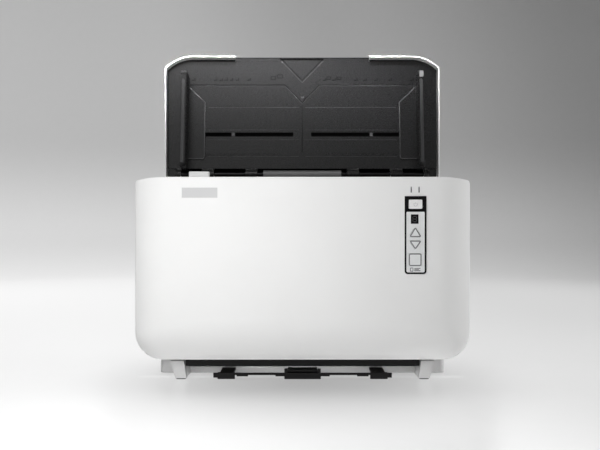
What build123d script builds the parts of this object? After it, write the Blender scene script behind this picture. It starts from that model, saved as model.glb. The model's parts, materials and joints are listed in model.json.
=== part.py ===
from build123d import *
import math
import os

# Units are millimetres. X runs to the viewer's right, Z up, Y from the front to the back.
# The origin is on the table, at the centre of the body's footprint.
# Names: _X is a span to the right, _Z a span in height, _T a span in depth behind the front face.

# Body
WIDTH = 386.0
DEPTH = 216.0
FRONT_Y = -DEPTH / 2
BODY_HALF = WIDTH / 2
BASE_HALF = 174.0
SHELL_TOP = 236.8
SHELL_BOTTOM = 24.0
SHELL_DEPTH = 36.0
BODY_TOP = 234.5
BODY_BOTTOM = 46.0
BASE_BOTTOM = 1.2
CORNER_RADIUS = 14.0

# Walls, fits and the reach of a cutting shape past the face it opens
WALL = 2.5
GAP = 0.4
RUN_FIT = 0.05
CUT = 1.0

# Front shell form
BOW = 1.5
BOW_HALF = 155.0
WRAP_DEPTH = 17.0
EDGE_ROUND = 3.0
CHIN_TOP = 78.0
CHIN_DEPTH = 35.0
TOP_DROOP = 3.2
CORNER_ROUND = 4.0
CUT_HEIGHT = 42.0
CUT_HALF = 164.0

# Name plate, indicator lenses and release button in the front shell
NAME_X = (-137.2, -96.8)
NAME_Z = (213.0, 224.4)
NAME_PROUD = 0.25
NAME_SUNK = 0.35
LENS_X = (123.3, 132.2)
LENS_Z = (218.9, 225.5)
LENS_T = (0.9, 5.0)
LENS_HALF = 0.65
RELEASE_X = (-129.7, -106.5)
RELEASE_T = (4.0, 11.5)
RELEASE_Z = (227.8, 243.0)
RELEASE_ROUND = 1.2
RELEASE_FOOT_X = (-121.0, -115.0)
RELEASE_FOOT_T = (5.0, 8.0)
RELEASE_FOOT = 216.4

# Control panel
BEZEL_X = (115.8, 140.4)
BEZEL_Z = (126.3, 214.8)
BEZEL_T = (0.4, 4.6)
BEZEL_RIM = 1.5
PLATE_SPAN_X = (116.8, 139.0)
PLATE_SPAN_Z = (127.7, 197.5)
PLATE_T = (0.2, 1.4)
PLATE_ROUND = 2.0
WINDOW_X = (122.8, 131.5)
WINDOW_Z = (183.4, 194.1)
WINDOW_T = (0.35, 2.4)
POWER_X = (120.5, 135.6)
POWER_Z = (200.4, 210.7)
SCAN_X = (120.5, 134.8)
SCAN_Z = (135.5, 149.6)
ARROW_MIDDLE = 127.9
ARROW_HALF = 7.1
UP_ARROW = (168.3, 179.8)
DOWN_ARROW = (164.3, 154.0)
KEY_ROUND = 1.2
KEY_GAP = 0.3
KEY_FACE = -0.1
POWER_FACE = -0.8
FLANGE_T = (4.8, 5.6)
FLANGE_WIDE = 0.6
BOARD_T = (8.0, 9.6)
BOARD_X = (112.0, 144.0)
BOARD_Z = (122.0, 219.0)
SWITCH_T = (6.6, 8.0)
SWITCH_HALF = 3.0

# Hinge and latch of the front cover, as (depth, height) places
COVER_HINGE = (32.0, 36.0)
PIN_RADIUS = 3.0
LUG_RADIUS = 6.0
LATCH_AT = (26.0, 214.0)
LATCH_RADIUS = 3.0
CATCH_AT = (48.0, 214.0)
CATCH_RADIUS = 2.0
HOOK_X = (164.0, 166.0)
HOOK_TOP = 221.5
HOOK_TOOTH = 2.5
ARM_X = (-122.0, -114.0)
ARM_T = (5.5, 26.0)
ARM_FOOT = 212.5

# Inner frame of the front cover
CHEEK_X = (171.5, 174.5)
CHEEK_TOP = 229.0
CHEEK_OUTLINE = ((27.0, 38.0), (36.0, 38.0), (36.0, CHEEK_TOP), (22.0, CHEEK_TOP), (22.0, 60.0))
CROSS_T = (27.0, 29.5)
CROSS_Z = (92.0, 208.0)
RAIL_FOOT = 226.0
COVER_RAIL_T = (20.0, 31.0)
COVER_RAIL_END_T = (22.0, 31.0)
SHELL_RIB_PLACES = (-120.0, -60.0, 0.0, 60.0)
SHELL_RIB_Z = (150.0, 156.0)
TIE_T = (24.0, 34.0)
TIE_Z = (180.0, 186.0)
RIB_HALF = 1.0

# Paper path: a straight plane that rises towards the back, with the throat above it
PATH_START = (60.0, 20.0)
PATH_ANGLE = math.radians(59.72)
PATH_GAP = 1.0
GUIDE_THICK = 2.0
GUIDE_HALF = 156.0
THROAT_HALF = 161.0
THROAT_FLOOR = 203.0
FRONT_GUIDE_ALONG = (14.0, 184.0)
REAR_GUIDE_ALONG = (5.0, 160.0)
FUNNEL_LINE = ((33.0, 232.0), (33.0, 204.0), (118.0, 199.0))
SIDE_WALL_OUTLINE = ((100.0, 199.5), (34.0, 203.5), (29.5, 206.0), (29.5, 100.0))
SIDE_WALL_ALONG = (92.0, 176.0)
SIDE_WALL_OFF = 3.0
BRIDGE_PLACES = (-90.0, 0.0, 90.0)
BRIDGE_HALF = 2.0
BRIDGE_T = (CROSS_T[1], 32.5)
BRIDGE_Z = (205.0, CROSS_Z[1])
WINDOW_CUT = 4.0
FEED_WINDOW_HALF = 22.5
FEED_WINDOW_ALONG = (163.0, 198.0)
FEED_WINDOW_OFF = (-1.0, 28.0)
TYRE_WINDOW = 9.0
PLATE_FLANGE_ALONG = (52.0, 132.0)
PLATE_FLANGE_OFF = (-4.0, -3.0)
PLATE_RIM_OFF = (-5.0, -3.0)

# Throat chute: the wall behind the sheets, up to the tray hinge
CHUTE_HALF = 151.9
CHUTE_TOP = 243.0
CHUTE_T = 177.5
CHUTE_START = 161.0
CHUTE_BEND = 5.5
CHUTE_RIB_PLACES = (-120.0, -40.0, 40.0, 120.0)
CHUTE_RIB_T = (178.5, 195.0)
CHUTE_RIB_Z = (222.0, 238.0)
CHUTE_WINDOW_HALF = 24.0
CHUTE_WINDOW_ALONG = (162.0, 194.0)
CHUTE_WINDOW_OFF = (-6.0, 0.0)

# Line sensors, by their places along the paper path
SENSOR_HALF = 154.0
FRONT_SENSOR = (111.0, 127.0)
REAR_SENSOR = (84.0, 100.0)
SENSOR_FAR = 15.0
SENSOR_NEAR = 3.0
GLASS_OFF = (0.9, 2.9)
GLASS_PLAY = 0.5
MODULE_PLAY = 2.0
NECK_HALF = 150.0
SENSOR_SLOT_HALF = (148.0, 1.2)
SENSOR_SLOT_OFF = (2.0, 9.0)

# Rollers: place along the path, radius of the tyre and radius of the belt pulley
EXIT_AT = 40.0
TRANSPORT_AT = 146.0
FEED_AT = 178.0
DRIVE_RADIUS = 9.0
FEED_RADIUS = 14.0
PINCH_RADIUS = 7.0
SEPARATION_RADIUS = 12.0
NIP_GAP = 0.15
SHAFT_RADIUS = 3.0
SLEEVE_RADIUS = 4.5
IDLER_SHAFT_RADIUS = 2.0
IDLER_SHAFT_HALF = 150.0
TYRE_HALF = 8.0
TYRE_PLACES = (-105.0, -35.0, 35.0, 105.0)
FEED_TYRE_HALF = 20.0
SADDLE_PLACES = (-148.0, 0.0, 148.0)
SADDLE_HALF = 1.5
SADDLE_REACH = 6.0
SEPARATION_HALF = 14.0
SEPARATION_SHAFT_HALF = 22.0
HOLDER_ARM = 20.5
HOLDER_ALONG = (156.0, 183.0)
HOLDER_BACK = 153.0
HOLDER_OFF = (3.0, 19.0)

# Belt drive
PULLEY_X = (158.5, 163.5)
PULLEY_RADIUS = 8.0
FEED_PULLEY_RADIUS = 13.0
MOTOR_PULLEY_RADIUS = 7.0
PULLEY_RIM = 1.6
PULLEY_CHEEK = 1.0
BELT_THICK = 1.2
BELT_GAP = 0.35
BELT_INSET = 0.3
MOTOR_AT = (150.0, 95.0)
MOTOR_RADIUS = 21.0
MOTOR_LONG = 19.0
MOTOR_BORE = 12.0
MOTOR_SHAFT = 11.0
MOTOR_HOLE = 5.0
MOTOR_LUG = (29.0, 7.0, 1.0)
SHAFT_OUT = 2.0

# Chassis
PLATE_X = (168.0, 169.5)
CHASSIS_BOTTOM = BASE_BOTTOM + WALL
CHASSIS_OUTLINE = (
    (84.0, CHASSIS_BOTTOM), (204.0, CHASSIS_BOTTOM), (204.0, 196.0), (194.0, 199.0), (188.0, 228.0),
    (184.5, 236.0), (184.5, 250.0), (174.5, 250.0), (170.0, 228.0), (42.0, 228.0), (42.0, 206.0),
    (54.0, 200.0), (54.0, 64.0), (27.0, 39.0), (36.0, 33.0), (45.0, 42.0), (60.0, 50.0), (84.0, 50.0),
)
HINGE_EAR_RADIUS = 6.0
TRAY_EAR_RADIUS = 6.5
MEMBER_T = (188.0, 189.5)
MEMBER_Z = (70.0, 190.0)
MEMBER_FOOT_T = (189.5, 200.0)
MEMBER_FOOT_Z = (70.0, 71.5)

# Base housing and legs
BASE_T = (80.0, 210.0)
BASE_ROUND = 6.0
FRONT_WALL_TOP = 9.0
MOUTH_T = (70.0, 90.0)
MOUTH_HALF = 144.0
SIDE_MOUTH_X = (120.0, PLATE_X[1] + GAP)
SIDE_MOUTH_FOOT = 23.0
LEG_T = (40.0, 84.0)
LEG_OUTLINE = ((155.6, 22.0), (150.0, BASE_BOTTOM), (137.0, BASE_BOTTOM), (140.0, 22.0))
RAIL_X = (82.0, 98.0)
RAIL_Z = (4.3, 7.2)
CHANNEL_WALL = 1.2
CHANNEL_T = (84.0, 200.0)
NOTCH_T = (70.0, 84.0)
FRONT_FOOT = ((138.5, 149.0), (42.0, 58.0))
REAR_FOOT = ((146.0, 166.0), (186.0, 202.0))
FOOT_DEEP = 2.4
GUARD_HALF = 138.6
GUARD_OUTLINE = ((45.5, 15.0), (49.0, 15.0), (50.0, 16.5), (50.0, 23.4), (45.5, 23.4))
GUARD_EAR_X = (138.6, 141.6)
GUARD_EAR_T = (45.5, 50.0)
GUARD_EAR_Z = (22.0, 23.4)

# Side covers
SIDE_T = (SHELL_DEPTH + 2 * GAP, DEPTH)
SIDE_TOP_ROUND = 3.0
SIDE_OPEN_BACK = 194.5
THROAT_WALL = 1.5
THROAT_WALL_BACK = 165.0
EAR_ROOM_T = (166.0, 190.0)
KNUCKLE_ROOM_T = (166.0, 194.0)
LATCH_ROOM_BACK = 53.0

# Rear cover, its connectors and screws
REAR_HALF = BODY_HALF - CORNER_RADIUS - WALL
REAR_T = (DEPTH - WALL, DEPTH)
REAR_TOP = 245.0
REAR_TOP_FRONT = 195.0
REAR_INNER_FOOT = 200.0
REAR_TOP_ROUND = 2.0
INLET_X = (-150.0, -128.0)
INLET_Z = (62.0, 80.0)
INLET_T = (201.6, 215.2)
INLET_WELL = (4.2, 205.0)
INLET_PIN = (1.1, 204.0, 213.0)
PORT_X = (-112.0, -98.0)
PORT_Z = (62.0, 75.0)
PORT_T = (201.6, 215.4)
PORT_WALL = 2.5
PORT_WELL_T = (206.0, DEPTH)
PORT_TONGUE = (2.8, 1.5)
PORT_TONGUE_T = (204.0, 214.0)
CONNECTOR_ROOM = 200.0
VENT_COUNT = 12
VENT_START = 40.0
VENT_PITCH = 8.0
VENT_WIDE = 4.0
VENT_T = (210.0, DEPTH + CUT)
VENT_Z = (70.0, 110.0)
SCREW_PLACES = ((-165.0, 60.0), (165.0, 60.0), (-165.0, 190.0), (165.0, 190.0))
SCREW_HEAD_T = (214.4, DEPTH)
SCREW_HEAD_RADIUS = 3.0
SCREW_BACK = 204.5
SCREW_RADIUS = 1.5
BOSS_RADIUS = 4.5
BOSS_T = (206.0, REAR_T[0])
DRIVE_SLOT_T = (215.2, DEPTH + CUT)
DRIVE_SLOT = (2.0, 0.4)

# Main board: its outline, its larger parts as (x, depth, height) spans, and its posts
MAIN_BOARD = ((-155.0, 20.0), (200.0, 201.6), (56.0, 170.0))
MAIN_CHIPS = (
    ((-90.0, -60.0), (197.4, 200.0), (120.0, 150.0)),
    ((-45.0, -30.0), (198.4, 200.0), (125.0, 145.0)),
    ((-20.0, 10.0), (194.0, 200.0), (84.0, 90.0)),
    ((-130.0, -110.0), (194.0, 200.0), (100.0, 116.0)),
)
MAIN_POSTS = (((-153.0, -147.0), (189.5, 200.0), (160.0, 166.0)), ((12.0, 18.0), (189.5, 200.0), (160.0, 166.0)))

# Input tray: hinge line, lean, and its own directions, up along it and out towards the sheets
TRAY_HINGE = (179.5, 250.0)
TRAY_LEAN = 8.0
TRAY_ROD_RADIUS = 2.5
TRAY_ROD_END = 1.5
KNUCKLE_RADIUS = 5.0
BARREL_HALF = 52.0
BARREL_WEB_HALF = 50.0
BARREL_WEB_T = (176.5, 181.5)
RIM_FRONT = 13.0
TRAY_BACK = -10.0
TRAY_FOOT = -6.5
TRAY_TOP = 160.0
TRAY_HALF_FOOT = 182.0
TRAY_HALF_TOP = 185.0
TRAY_CORNER = (152.0, 143.5)
TRAY_CORNER_BULGE = 3.2
RIM_WALL = 2.8
LIP_HALF = 90.6
LIP_UP = (154.5, 160.0)
LIP_GAP_DEEP = 3.0
LIP_ROUND = 1.0
EXTENSION_FOOT = 44.0
EXTENSION_OUT = (0.3, 2.7)
KNUCKLES = ((60.0, 76.0), (118.0, 134.0), (162.5, 167.5))
KNUCKLE_WEB_UP = (0.0, 10.5)
KNUCKLE_WEB_OUT = (-5.0, 2.6)
KNUCKLE_FOOT_UP = (6.5, 12.5)
KNUCKLE_FOOT_OUT = (-9.0, -4.0)
POST_RADIUS = 2.5
POST_TOP = 1.6
SHELF_RADIUS = 6.0
INNER_BACK = TRAY_BACK + CUT
EXTENSION_RAIL_X = (90.6, 92.6)
EXTENSION_RAIL_UP = (44.0, 150.0)
EXTENSION_RAIL_TOP = 2.9
RACK_BED_X = (10.0, 150.0)
RACK_BED_UP = (36.3, 38.3)
RACK_BED_TOP = -2.3

# Tray panel: its face, V notch, lines, slots and the guide slots
PANEL_OUT = (3.0, 5.0)
PANEL_FOOT = 6.5
NOTCH_HALF = 26.9
NOTCH_TIP = 128.5
NOTCH_BEVEL = 2.2
NOTCH_BEVEL_DEEP = 0.9
LINE_HALF = 128.0
LINE_UP = 121.5
LINE_V_HALF = 23.2
LINE_V_TIP = 96.8
LINE_WIDE = 0.9
LINE_DEEP = 0.5
SEAM_HALF = 0.4
SEAM_UP = (28.8, 94.8)
SLOT_UP = (50.8, 55.5)
SLOT_SPANS = ((12.0, 90.0), (95.0, 152.0))
SLOT_DEEP = 1.4
FINE_LINES = (90.6, 59.3, 45.8)
FINE_LINE_X = (4.0, 126.0)
FINE_LINE = 0.3
GUIDE_SLOT_UP = (24.0, 26.6)
GUIDE_SLOT_X = (31.0, 154.0)

# Paper guides
GUIDE_CLEAR_HALF = 152.5
FENCE_THICK = 7.2
FENCE_FRONT = 39.0
FENCE_UP = (4.0, 133.0)
FENCE_ROUND = 8.0
FENCE_WALL = 1.6
FENCE_CAP = 3.0
FENCE_END = 8.0
FOOT_INNER = 129.9
FOOT_UP = (19.0, 119.0)
FOOT_CHAMFER_UP = 97.5
FOOT_OUT = (5.4, 7.0)
TAB_X = (133.0, 151.0)
TAB_WEB_X = (140.0, 151.0)
TAB_PLAY = 0.3

# Rack and pinion between the guides
PINION_UP = 25.3
PINION_RADIUS = 9.0
PINION_TEETH = 12
PITCH = 2 * math.pi * PINION_RADIUS / PINION_TEETH
ADDENDUM = 1.1
DEDENDUM = 1.7
TIP_HALF = 0.11 * PITCH
ROOT_HALF = 0.24 * PITCH
RACK_OUT = (-2.0, 1.0)
RACK_SPINE = 3.0
RACK_START = -150.0
RACK_REACH = 14.0
FIRST_TOOTH = -21

# Output frame and paper stop
BAR_T = (40.0, 43.0)
BAR_Z = (5.0, 7.4)
BAR_HALF = 105.4
RAIL_T = (42.0, 198.0)
PAD = ((80.0, 100.3), (39.6, 44.4), (0.4, 7.8))
PAD_HOOK = ((100.3, 105.3), (39.8, 41.8), (2.0, 7.4))
BUMP_SPANS = ((64.4, 77.9), (21.3, 32.0))
BUMP_T = (40.2, 42.8)
BUMP_Z = (3.4, 5.2)
STOP_PIN = (43.0, 9.6)
STOP_PIN_RADIUS = 1.5
STOP_NOSE_RADIUS = 2.0
STOP_HALF = 17.4
STOP_T = (43.0, 56.0)
STOP_Z = (7.6, 11.9)
STOP_STEP = ((-12.0, 12.0), (54.6, 57.0), (11.0, 13.0))
SEAT_HALF = 21.5
SEAT_T = (39.6, 48.0)
SEAT_Z = (0.3, 7.4)
EAR_X = (17.7, SEAT_HALF)
EAR_T = (40.4, 45.4)
EAR_Z = (7.4, 12.0)


# Tools for the shapes below

def middle_of(span):
    return (span[0] + span[1]) / 2


def grown(span, by):
    """A span made longer at both ends."""
    return span[0] - by, span[1] + by


def around(place, half):
    """The span with this middle and half length."""
    return place - half, place + half


def block(x, t, z):
    """A box between two places along X, in depth behind the front face, and in height."""
    size = (x[1] - x[0], t[1] - t[0], z[1] - z[0])
    return Pos(middle_of(x), FRONT_Y + middle_of(t), middle_of(z)) * Box(*size)


def pair(shape):
    """A shape and its mirror image on the other side of the machine."""
    return [shape, mirror(shape, about=Plane.YZ)]


def side_plane(x):
    """The plane across the machine at x, with local X in depth and local Y up."""
    return Plane(origin=(x, FRONT_Y, 0), x_dir=(0, 1, 0), z_dir=(1, 0, 0))


def front_plane(t):
    """The plane parallel to the front at depth t, seen from the front."""
    return Plane(origin=(0, FRONT_Y + t, 0), x_dir=(1, 0, 0), z_dir=(0, -1, 0))


def side_prism(points, x):
    """A solid with an outline of (depth, height) points, from one X to the other."""
    face = side_plane(x[0]) * make_face(Polyline(*points, close=True))
    return extrude(face, amount=x[1] - x[0], dir=(1, 0, 0))


def rod(centre, radius, x):
    """A round bar along X at a (depth, height) centre."""
    return extrude(side_plane(x[0]) * Pos(*centre) * Circle(radius), amount=x[1] - x[0], dir=(1, 0, 0))


def front_prism(face, t):
    """A solid with an outline in X and height, from depth t[1] forward to t[0]."""
    return extrude(front_plane(t[1]) * face, amount=t[1] - t[0], dir=(0, -1, 0))


def round_bar(x, z, radius, t):
    """A round bar along the depth."""
    return front_prism(Pos(x, z) * Circle(radius), t)


def unit(a, b):
    """The direction from one point to another."""
    length = math.dist(a, b)
    return (b[0] - a[0]) / length, (b[1] - a[1]) / length


def band(points, thick):
    """The outline of a bent sheet whose middle line runs through the points."""
    last = len(points) - 1
    sides = ([], [])
    for i, (u, v) in enumerate(points):
        before = unit(points[max(i - 1, 0)], points[max(i, 1)])
        after = unit(points[min(i, last - 1)], points[min(i + 1, last)])
        normal = (-before[1] - after[1], before[0] + after[0])
        scale = thick / (1 + before[0] * after[0] + before[1] * after[1]) / 2
        sides[0].append((u + normal[0] * scale, v + normal[1] * scale))
        sides[1].append((u - normal[0] * scale, v - normal[1] * scale))
    return sides[0] + sides[1][::-1]


def path_point(along, off):
    """A (depth, height) place along the paper path and off it, towards the front cover."""
    cos, sin = math.cos(PATH_ANGLE), math.sin(PATH_ANGLE)
    return PATH_START[0] + along * cos - off * sin, PATH_START[1] + along * sin + off * cos


def path_box(x, along, off):
    """A box set square to the paper path."""
    corners = [(along[0], off[0]), (along[1], off[0]), (along[1], off[1]), (along[0], off[1])]
    return side_prism([path_point(*corner) for corner in corners], x)


def save(name, shape):
    """Write every solid of a shape, or of a list of shapes, as one named file."""
    shapes = shape if isinstance(shape, (list, tuple)) else [shape]
    solids = [solid for item in shapes for solid in item.solids()]
    export_step(Compound(children=solids), f"parts/{name}.step")


# Front shell

def shell_plan(inset, back):
    """The shell seen from above: a shallow bow that turns back at each side."""
    half = BODY_HALF - inset
    start = (BOW_HALF, FRONT_Y + BOW + inset)
    end = (half, FRONT_Y + WRAP_DEPTH + inset / 3)
    slope = 2 * BOW / BOW_HALF
    edges = [
        ThreePointArc((-start[0], start[1]), (0, FRONT_Y + inset), start),
        TangentArc(start, end, tangent=(1, slope)),
        Line(end, (half, FRONT_Y + back)),
        Line((half, FRONT_Y + back), (-half, FRONT_Y + back)),
        Line((-half, FRONT_Y + back), (-end[0], end[1])),
        TangentArc((-start[0], start[1]), (-end[0], end[1]), tangent=(-1, slope)),
    ]
    return extrude(make_face(edges), amount=SHELL_TOP + CUT, dir=(0, 0, 1))


def shell_side(inset, back):
    """The shell seen from the side: a flat face over a chin that turns under."""
    top = SHELL_TOP - inset
    low = SHELL_BOTTOM + inset
    edges = [
        Line((back, top), (inset + EDGE_ROUND, top)),
        TangentArc((inset, top - EDGE_ROUND), (inset + EDGE_ROUND, top), tangent=(0, 1)),
        Line((inset, top - EDGE_ROUND), (inset, CHIN_TOP)),
        TangentArc((inset, CHIN_TOP), (CHIN_DEPTH, low), tangent=(0, -1)),
        Line((CHIN_DEPTH, low), (back, low)),
        Line((back, low), (back, top)),
    ]
    return extrude(side_plane(-BODY_HALF) * make_face(edges), amount=WIDTH, dir=(1, 0, 0))


def shell_front(inset, back):
    """The shell seen from the front: drooping top ends and cut bottom corners."""
    half = BODY_HALF - inset
    top = SHELL_TOP - inset
    low = SHELL_BOTTOM + inset
    shoulder = (half - CORNER_ROUND, top - TOP_DROOP)
    side = (half, top - TOP_DROOP - CORNER_ROUND)
    right = [
        TangentArc((BOW_HALF, top), shoulder, tangent=(1, 0)),
        TangentArc(side, shoulder, tangent=(0, 1)),
        Line(side, (half, CUT_HEIGHT)),
        TangentArc((CUT_HALF, low), (half, CUT_HEIGHT), tangent=(1, 0)),
    ]
    left = [mirror(edge, about=Plane.YZ) for edge in right]
    across = [Line((-BOW_HALF, top), (BOW_HALF, top)), Line((-CUT_HALF, low), (CUT_HALF, low))]
    return front_prism(make_face(right + left + across), (0, back))


def shell_form(inset, back):
    """The solid that all three views of the shell agree on."""
    return shell_plan(inset, back) & shell_side(inset, back) & shell_front(inset, back)


def front_shell():
    """The white moulding, hollow behind, with its panel, lens, name and button openings."""
    shell = shell_form(0, SHELL_DEPTH) - shell_form(WALL, SHELL_DEPTH + WALL)
    name_pocket = block(NAME_X, (-CUT, WALL), NAME_Z) - shell_form(NAME_SUNK, SHELL_DEPTH)
    bezel_hole = block(BEZEL_X, (-CUT, 2 * WALL), BEZEL_Z)
    lens_holes = [block(around(x, LENS_HALF), (-CUT, 2 * WALL), LENS_Z) for x in LENS_X]
    top = (SHELL_TOP - 2 * WALL, SHELL_TOP + CUT)
    release_hole = block(grown(RELEASE_X, GAP), grown(RELEASE_T, GAP), top)
    return shell - [name_pocket, bezel_hole, release_hole] - lens_holes


def name_plate():
    """A blank plate that follows the shell's bow."""
    skin = shell_form(-NAME_PROUD, SHELL_DEPTH) - shell_form(NAME_SUNK, SHELL_DEPTH + WALL)
    return skin & block(NAME_X, (-CUT, WALL), NAME_Z)


def indicator_lenses():
    return [block(around(x, LENS_HALF), LENS_T, LENS_Z) for x in LENS_X]


def release_button():
    """The button, with the foot that presses the latch arm."""
    head = block(RELEASE_X, RELEASE_T, RELEASE_Z)
    top_edges = head.faces().sort_by(Axis.Z)[-1].edges()
    head = fillet(head.edges().filter_by(Axis.Z) + top_edges, RELEASE_ROUND)
    return head + block(RELEASE_FOOT_X, RELEASE_FOOT_T, (RELEASE_FOOT, RELEASE_Z[0]))


# Control panel

def key_face(x, z, grow=0.0):
    """A rectangular key with rounded corners, seen from the front."""
    size = (x[1] - x[0] + 2 * grow, z[1] - z[0] + 2 * grow)
    return Pos(middle_of(x), middle_of(z)) * RectangleRounded(*size, KEY_ROUND + grow)


def arrow_face(base_and_tip, grow=0.0):
    """A triangular key with rounded corners, seen from the front."""
    base, tip = base_and_tip
    low, high = around(ARROW_MIDDLE, ARROW_HALF)
    face = make_face(Polyline((low, base), (high, base), (ARROW_MIDDLE, tip), close=True))
    face = fillet(face.vertices(), KEY_ROUND)
    return offset(face, amount=grow) if grow else face


def key_faces(grow=0.0):
    """The four keys' outlines by name."""
    return {
        "power_button": key_face(POWER_X, POWER_Z, grow),
        "up_button": arrow_face(UP_ARROW, grow),
        "down_button": arrow_face(DOWN_ARROW, grow),
        "scan_button": key_face(SCAN_X, SCAN_Z, grow),
    }


def key(name):
    """A key with the flange behind the bezel that keeps it in."""
    front = POWER_FACE if name == "power_button" else KEY_FACE
    stem = front_prism(key_faces()[name], (front, FLANGE_T[0]))
    return stem + front_prism(key_faces(FLANGE_WIDE)[name], FLANGE_T)


def key_holes(back):
    return [front_prism(face, (-CUT, back)) for face in key_faces(KEY_GAP).values()]


def panel_bezel():
    """The black bezel, pocketed for the plate and window, with a rim that holds the board."""
    body = block(BEZEL_X, BEZEL_T, BEZEL_Z)
    rim = block(BEZEL_X, (BEZEL_T[1], BOARD_T[0]), BEZEL_Z)
    rim -= block(grown(BEZEL_X, -BEZEL_RIM), (BEZEL_T[1] - CUT, BOARD_T[0] + CUT), grown(BEZEL_Z, -BEZEL_RIM))
    pocket = block(PLATE_SPAN_X, (-CUT, PLATE_T[1]), PLATE_SPAN_Z)
    window = block(WINDOW_X, (-CUT, WINDOW_T[1]), WINDOW_Z)
    return body + rim - [pocket, window] - key_holes(BEZEL_T[1] + CUT)


def panel_plate():
    """The light plate round the window and the lower three keys."""
    plate = block(PLATE_SPAN_X, PLATE_T, PLATE_SPAN_Z)
    plate = fillet(plate.edges().filter_by(Axis.Y), PLATE_ROUND)
    return plate - key_holes(PLATE_T[1] + CUT) - block(WINDOW_X, (-CUT, WINDOW_T[1]), WINDOW_Z)


def display_window():
    return block(WINDOW_X, WINDOW_T, WINDOW_Z)


def control_board():
    """The board behind the keys, with one switch for each."""
    board = block(BOARD_X, BOARD_T, BOARD_Z)
    for face in key_faces().values():
        spot = face.center()
        board += block(around(spot.X, SWITCH_HALF), SWITCH_T, around(spot.Y, SWITCH_HALF))
    return board


# Front cover, inside

def front_inner_frame():
    """Two cheeks with the hinge lugs, joined by a cross plate and a top rail."""
    cheek = side_prism(CHEEK_OUTLINE, CHEEK_X) + rod(COVER_HINGE, LUG_RADIUS, CHEEK_X)
    cheek -= rod(COVER_HINGE, PIN_RADIUS + RUN_FIT, CHEEK_X)
    cheek -= rod(LATCH_AT, LATCH_RADIUS + RUN_FIT, CHEEK_X)
    inside = around(0, CHEEK_X[0])
    cross = block(inside, CROSS_T, CROSS_Z)
    rail = block(around(0, BOW_HALF), COVER_RAIL_T, (RAIL_FOOT, SHELL_TOP - WALL))
    rail += block(inside, COVER_RAIL_END_T, (RAIL_FOOT, CHEEK_TOP))
    ribs = [block(around(x, RIB_HALF), (WALL + BOW, CROSS_T[0]), SHELL_RIB_Z) for x in SHELL_RIB_PLACES]
    ties = pair(block((CHEEK_X[1], BODY_HALF - WALL), TIE_T, TIE_Z))
    return cheek + mirror(cheek, about=Plane.YZ) + cross + rail + ribs + ties


def tyre_windows(off):
    """Openings in a guide plate for the tyres of the exit and transport rollers."""
    cuts = []
    for at in (EXIT_AT, TRANSPORT_AT):
        for x in TYRE_PLACES:
            cuts.append(path_box(around(x, TYRE_WINDOW), around(at, TYRE_WINDOW), off))
    return cuts


def front_guide_plate():
    """The funnel's front wall and floor, bent down into the front side of the paper path."""
    middle = PATH_GAP + GUIDE_THICK / 2
    line = [*FUNNEL_LINE, path_point(FRONT_GUIDE_ALONG[1], middle), path_point(FRONT_GUIDE_ALONG[0], middle)]
    plate = side_prism(band(line, GUIDE_THICK), around(0, GUIDE_HALF))
    plate -= path_box(around(0, FEED_WINDOW_HALF), FEED_WINDOW_ALONG, FEED_WINDOW_OFF)
    plate -= path_box(around(0, SENSOR_HALF), FRONT_SENSOR, (0, WINDOW_CUT))
    plate -= tyre_windows((0, WINDOW_CUT))
    bridges = [block(around(x, BRIDGE_HALF), BRIDGE_T, BRIDGE_Z) for x in BRIDGE_PLACES]
    outline = [*SIDE_WALL_OUTLINE, *[path_point(along, SIDE_WALL_OFF) for along in SIDE_WALL_ALONG]]
    walls = pair(side_prism(outline, (GUIDE_HALF - GUIDE_THICK, GUIDE_HALF)))
    return plate + walls + bridges


def sensor_glass(window, sign):
    """The glass strip over a line sensor, on the front side (1) or back side (-1)."""
    off = (sign * GLASS_OFF[0], sign * GLASS_OFF[1])
    return path_box(around(0, SENSOR_HALF - GLASS_PLAY), grown(window, -GLASS_PLAY), off)


def sensor_module(window, sign):
    """A line sensor: a long housing with a slot for its lens and light bar."""
    half = GUIDE_HALF - SENSOR_NEAR
    body = path_box(around(0, half), grown(window, MODULE_PLAY), (sign * SENSOR_NEAR, sign * SENSOR_FAR))
    neck_off = (sign * GLASS_OFF[1], sign * (SENSOR_NEAR + GAP))
    neck = path_box(around(0, NECK_HALF), grown(window, -MODULE_PLAY), neck_off)
    slot_off = (sign * SENSOR_SLOT_OFF[0], sign * SENSOR_SLOT_OFF[1])
    slot = path_box(around(0, SENSOR_SLOT_HALF[0]), around(middle_of(window), SENSOR_SLOT_HALF[1]), slot_off)
    return body + neck - slot


def roller_centre(at, radius, sign):
    """Where a roller stands that runs along the path, in front of it (1) or behind it (-1)."""
    return path_point(at, sign * (radius + NIP_GAP))


def pinch_roller(at):
    """An idle roller of the front cover: a shaft with moulded rollers."""
    centre = roller_centre(at, PINCH_RADIUS, 1)
    shaft = rod(centre, IDLER_SHAFT_RADIUS, around(0, IDLER_SHAFT_HALF))
    return shaft + [rod(centre, PINCH_RADIUS, around(x, TYRE_HALF)) for x in TYRE_PLACES]


def pinch_brackets():
    """Saddles in the front cover that hold the two idle rollers' shafts."""
    saddles = []
    for at in (EXIT_AT, TRANSPORT_AT):
        centre = roller_centre(at, PINCH_RADIUS, 1)
        for x in SADDLE_PLACES:
            span = around(x, SADDLE_HALF)
            saddle = path_box(span, around(at, SADDLE_REACH), (PATH_GAP + GUIDE_THICK, 2 * PINCH_RADIUS))
            saddles.append(saddle - rod(centre, IDLER_SHAFT_RADIUS + RUN_FIT, span))
    return saddles


def separation_roller():
    centre = roller_centre(FEED_AT, SEPARATION_RADIUS, 1)
    tyre = rod(centre, SEPARATION_RADIUS, around(0, SEPARATION_HALF))
    return tyre + rod(centre, SHAFT_RADIUS, around(0, SEPARATION_SHAFT_HALF))


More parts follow.
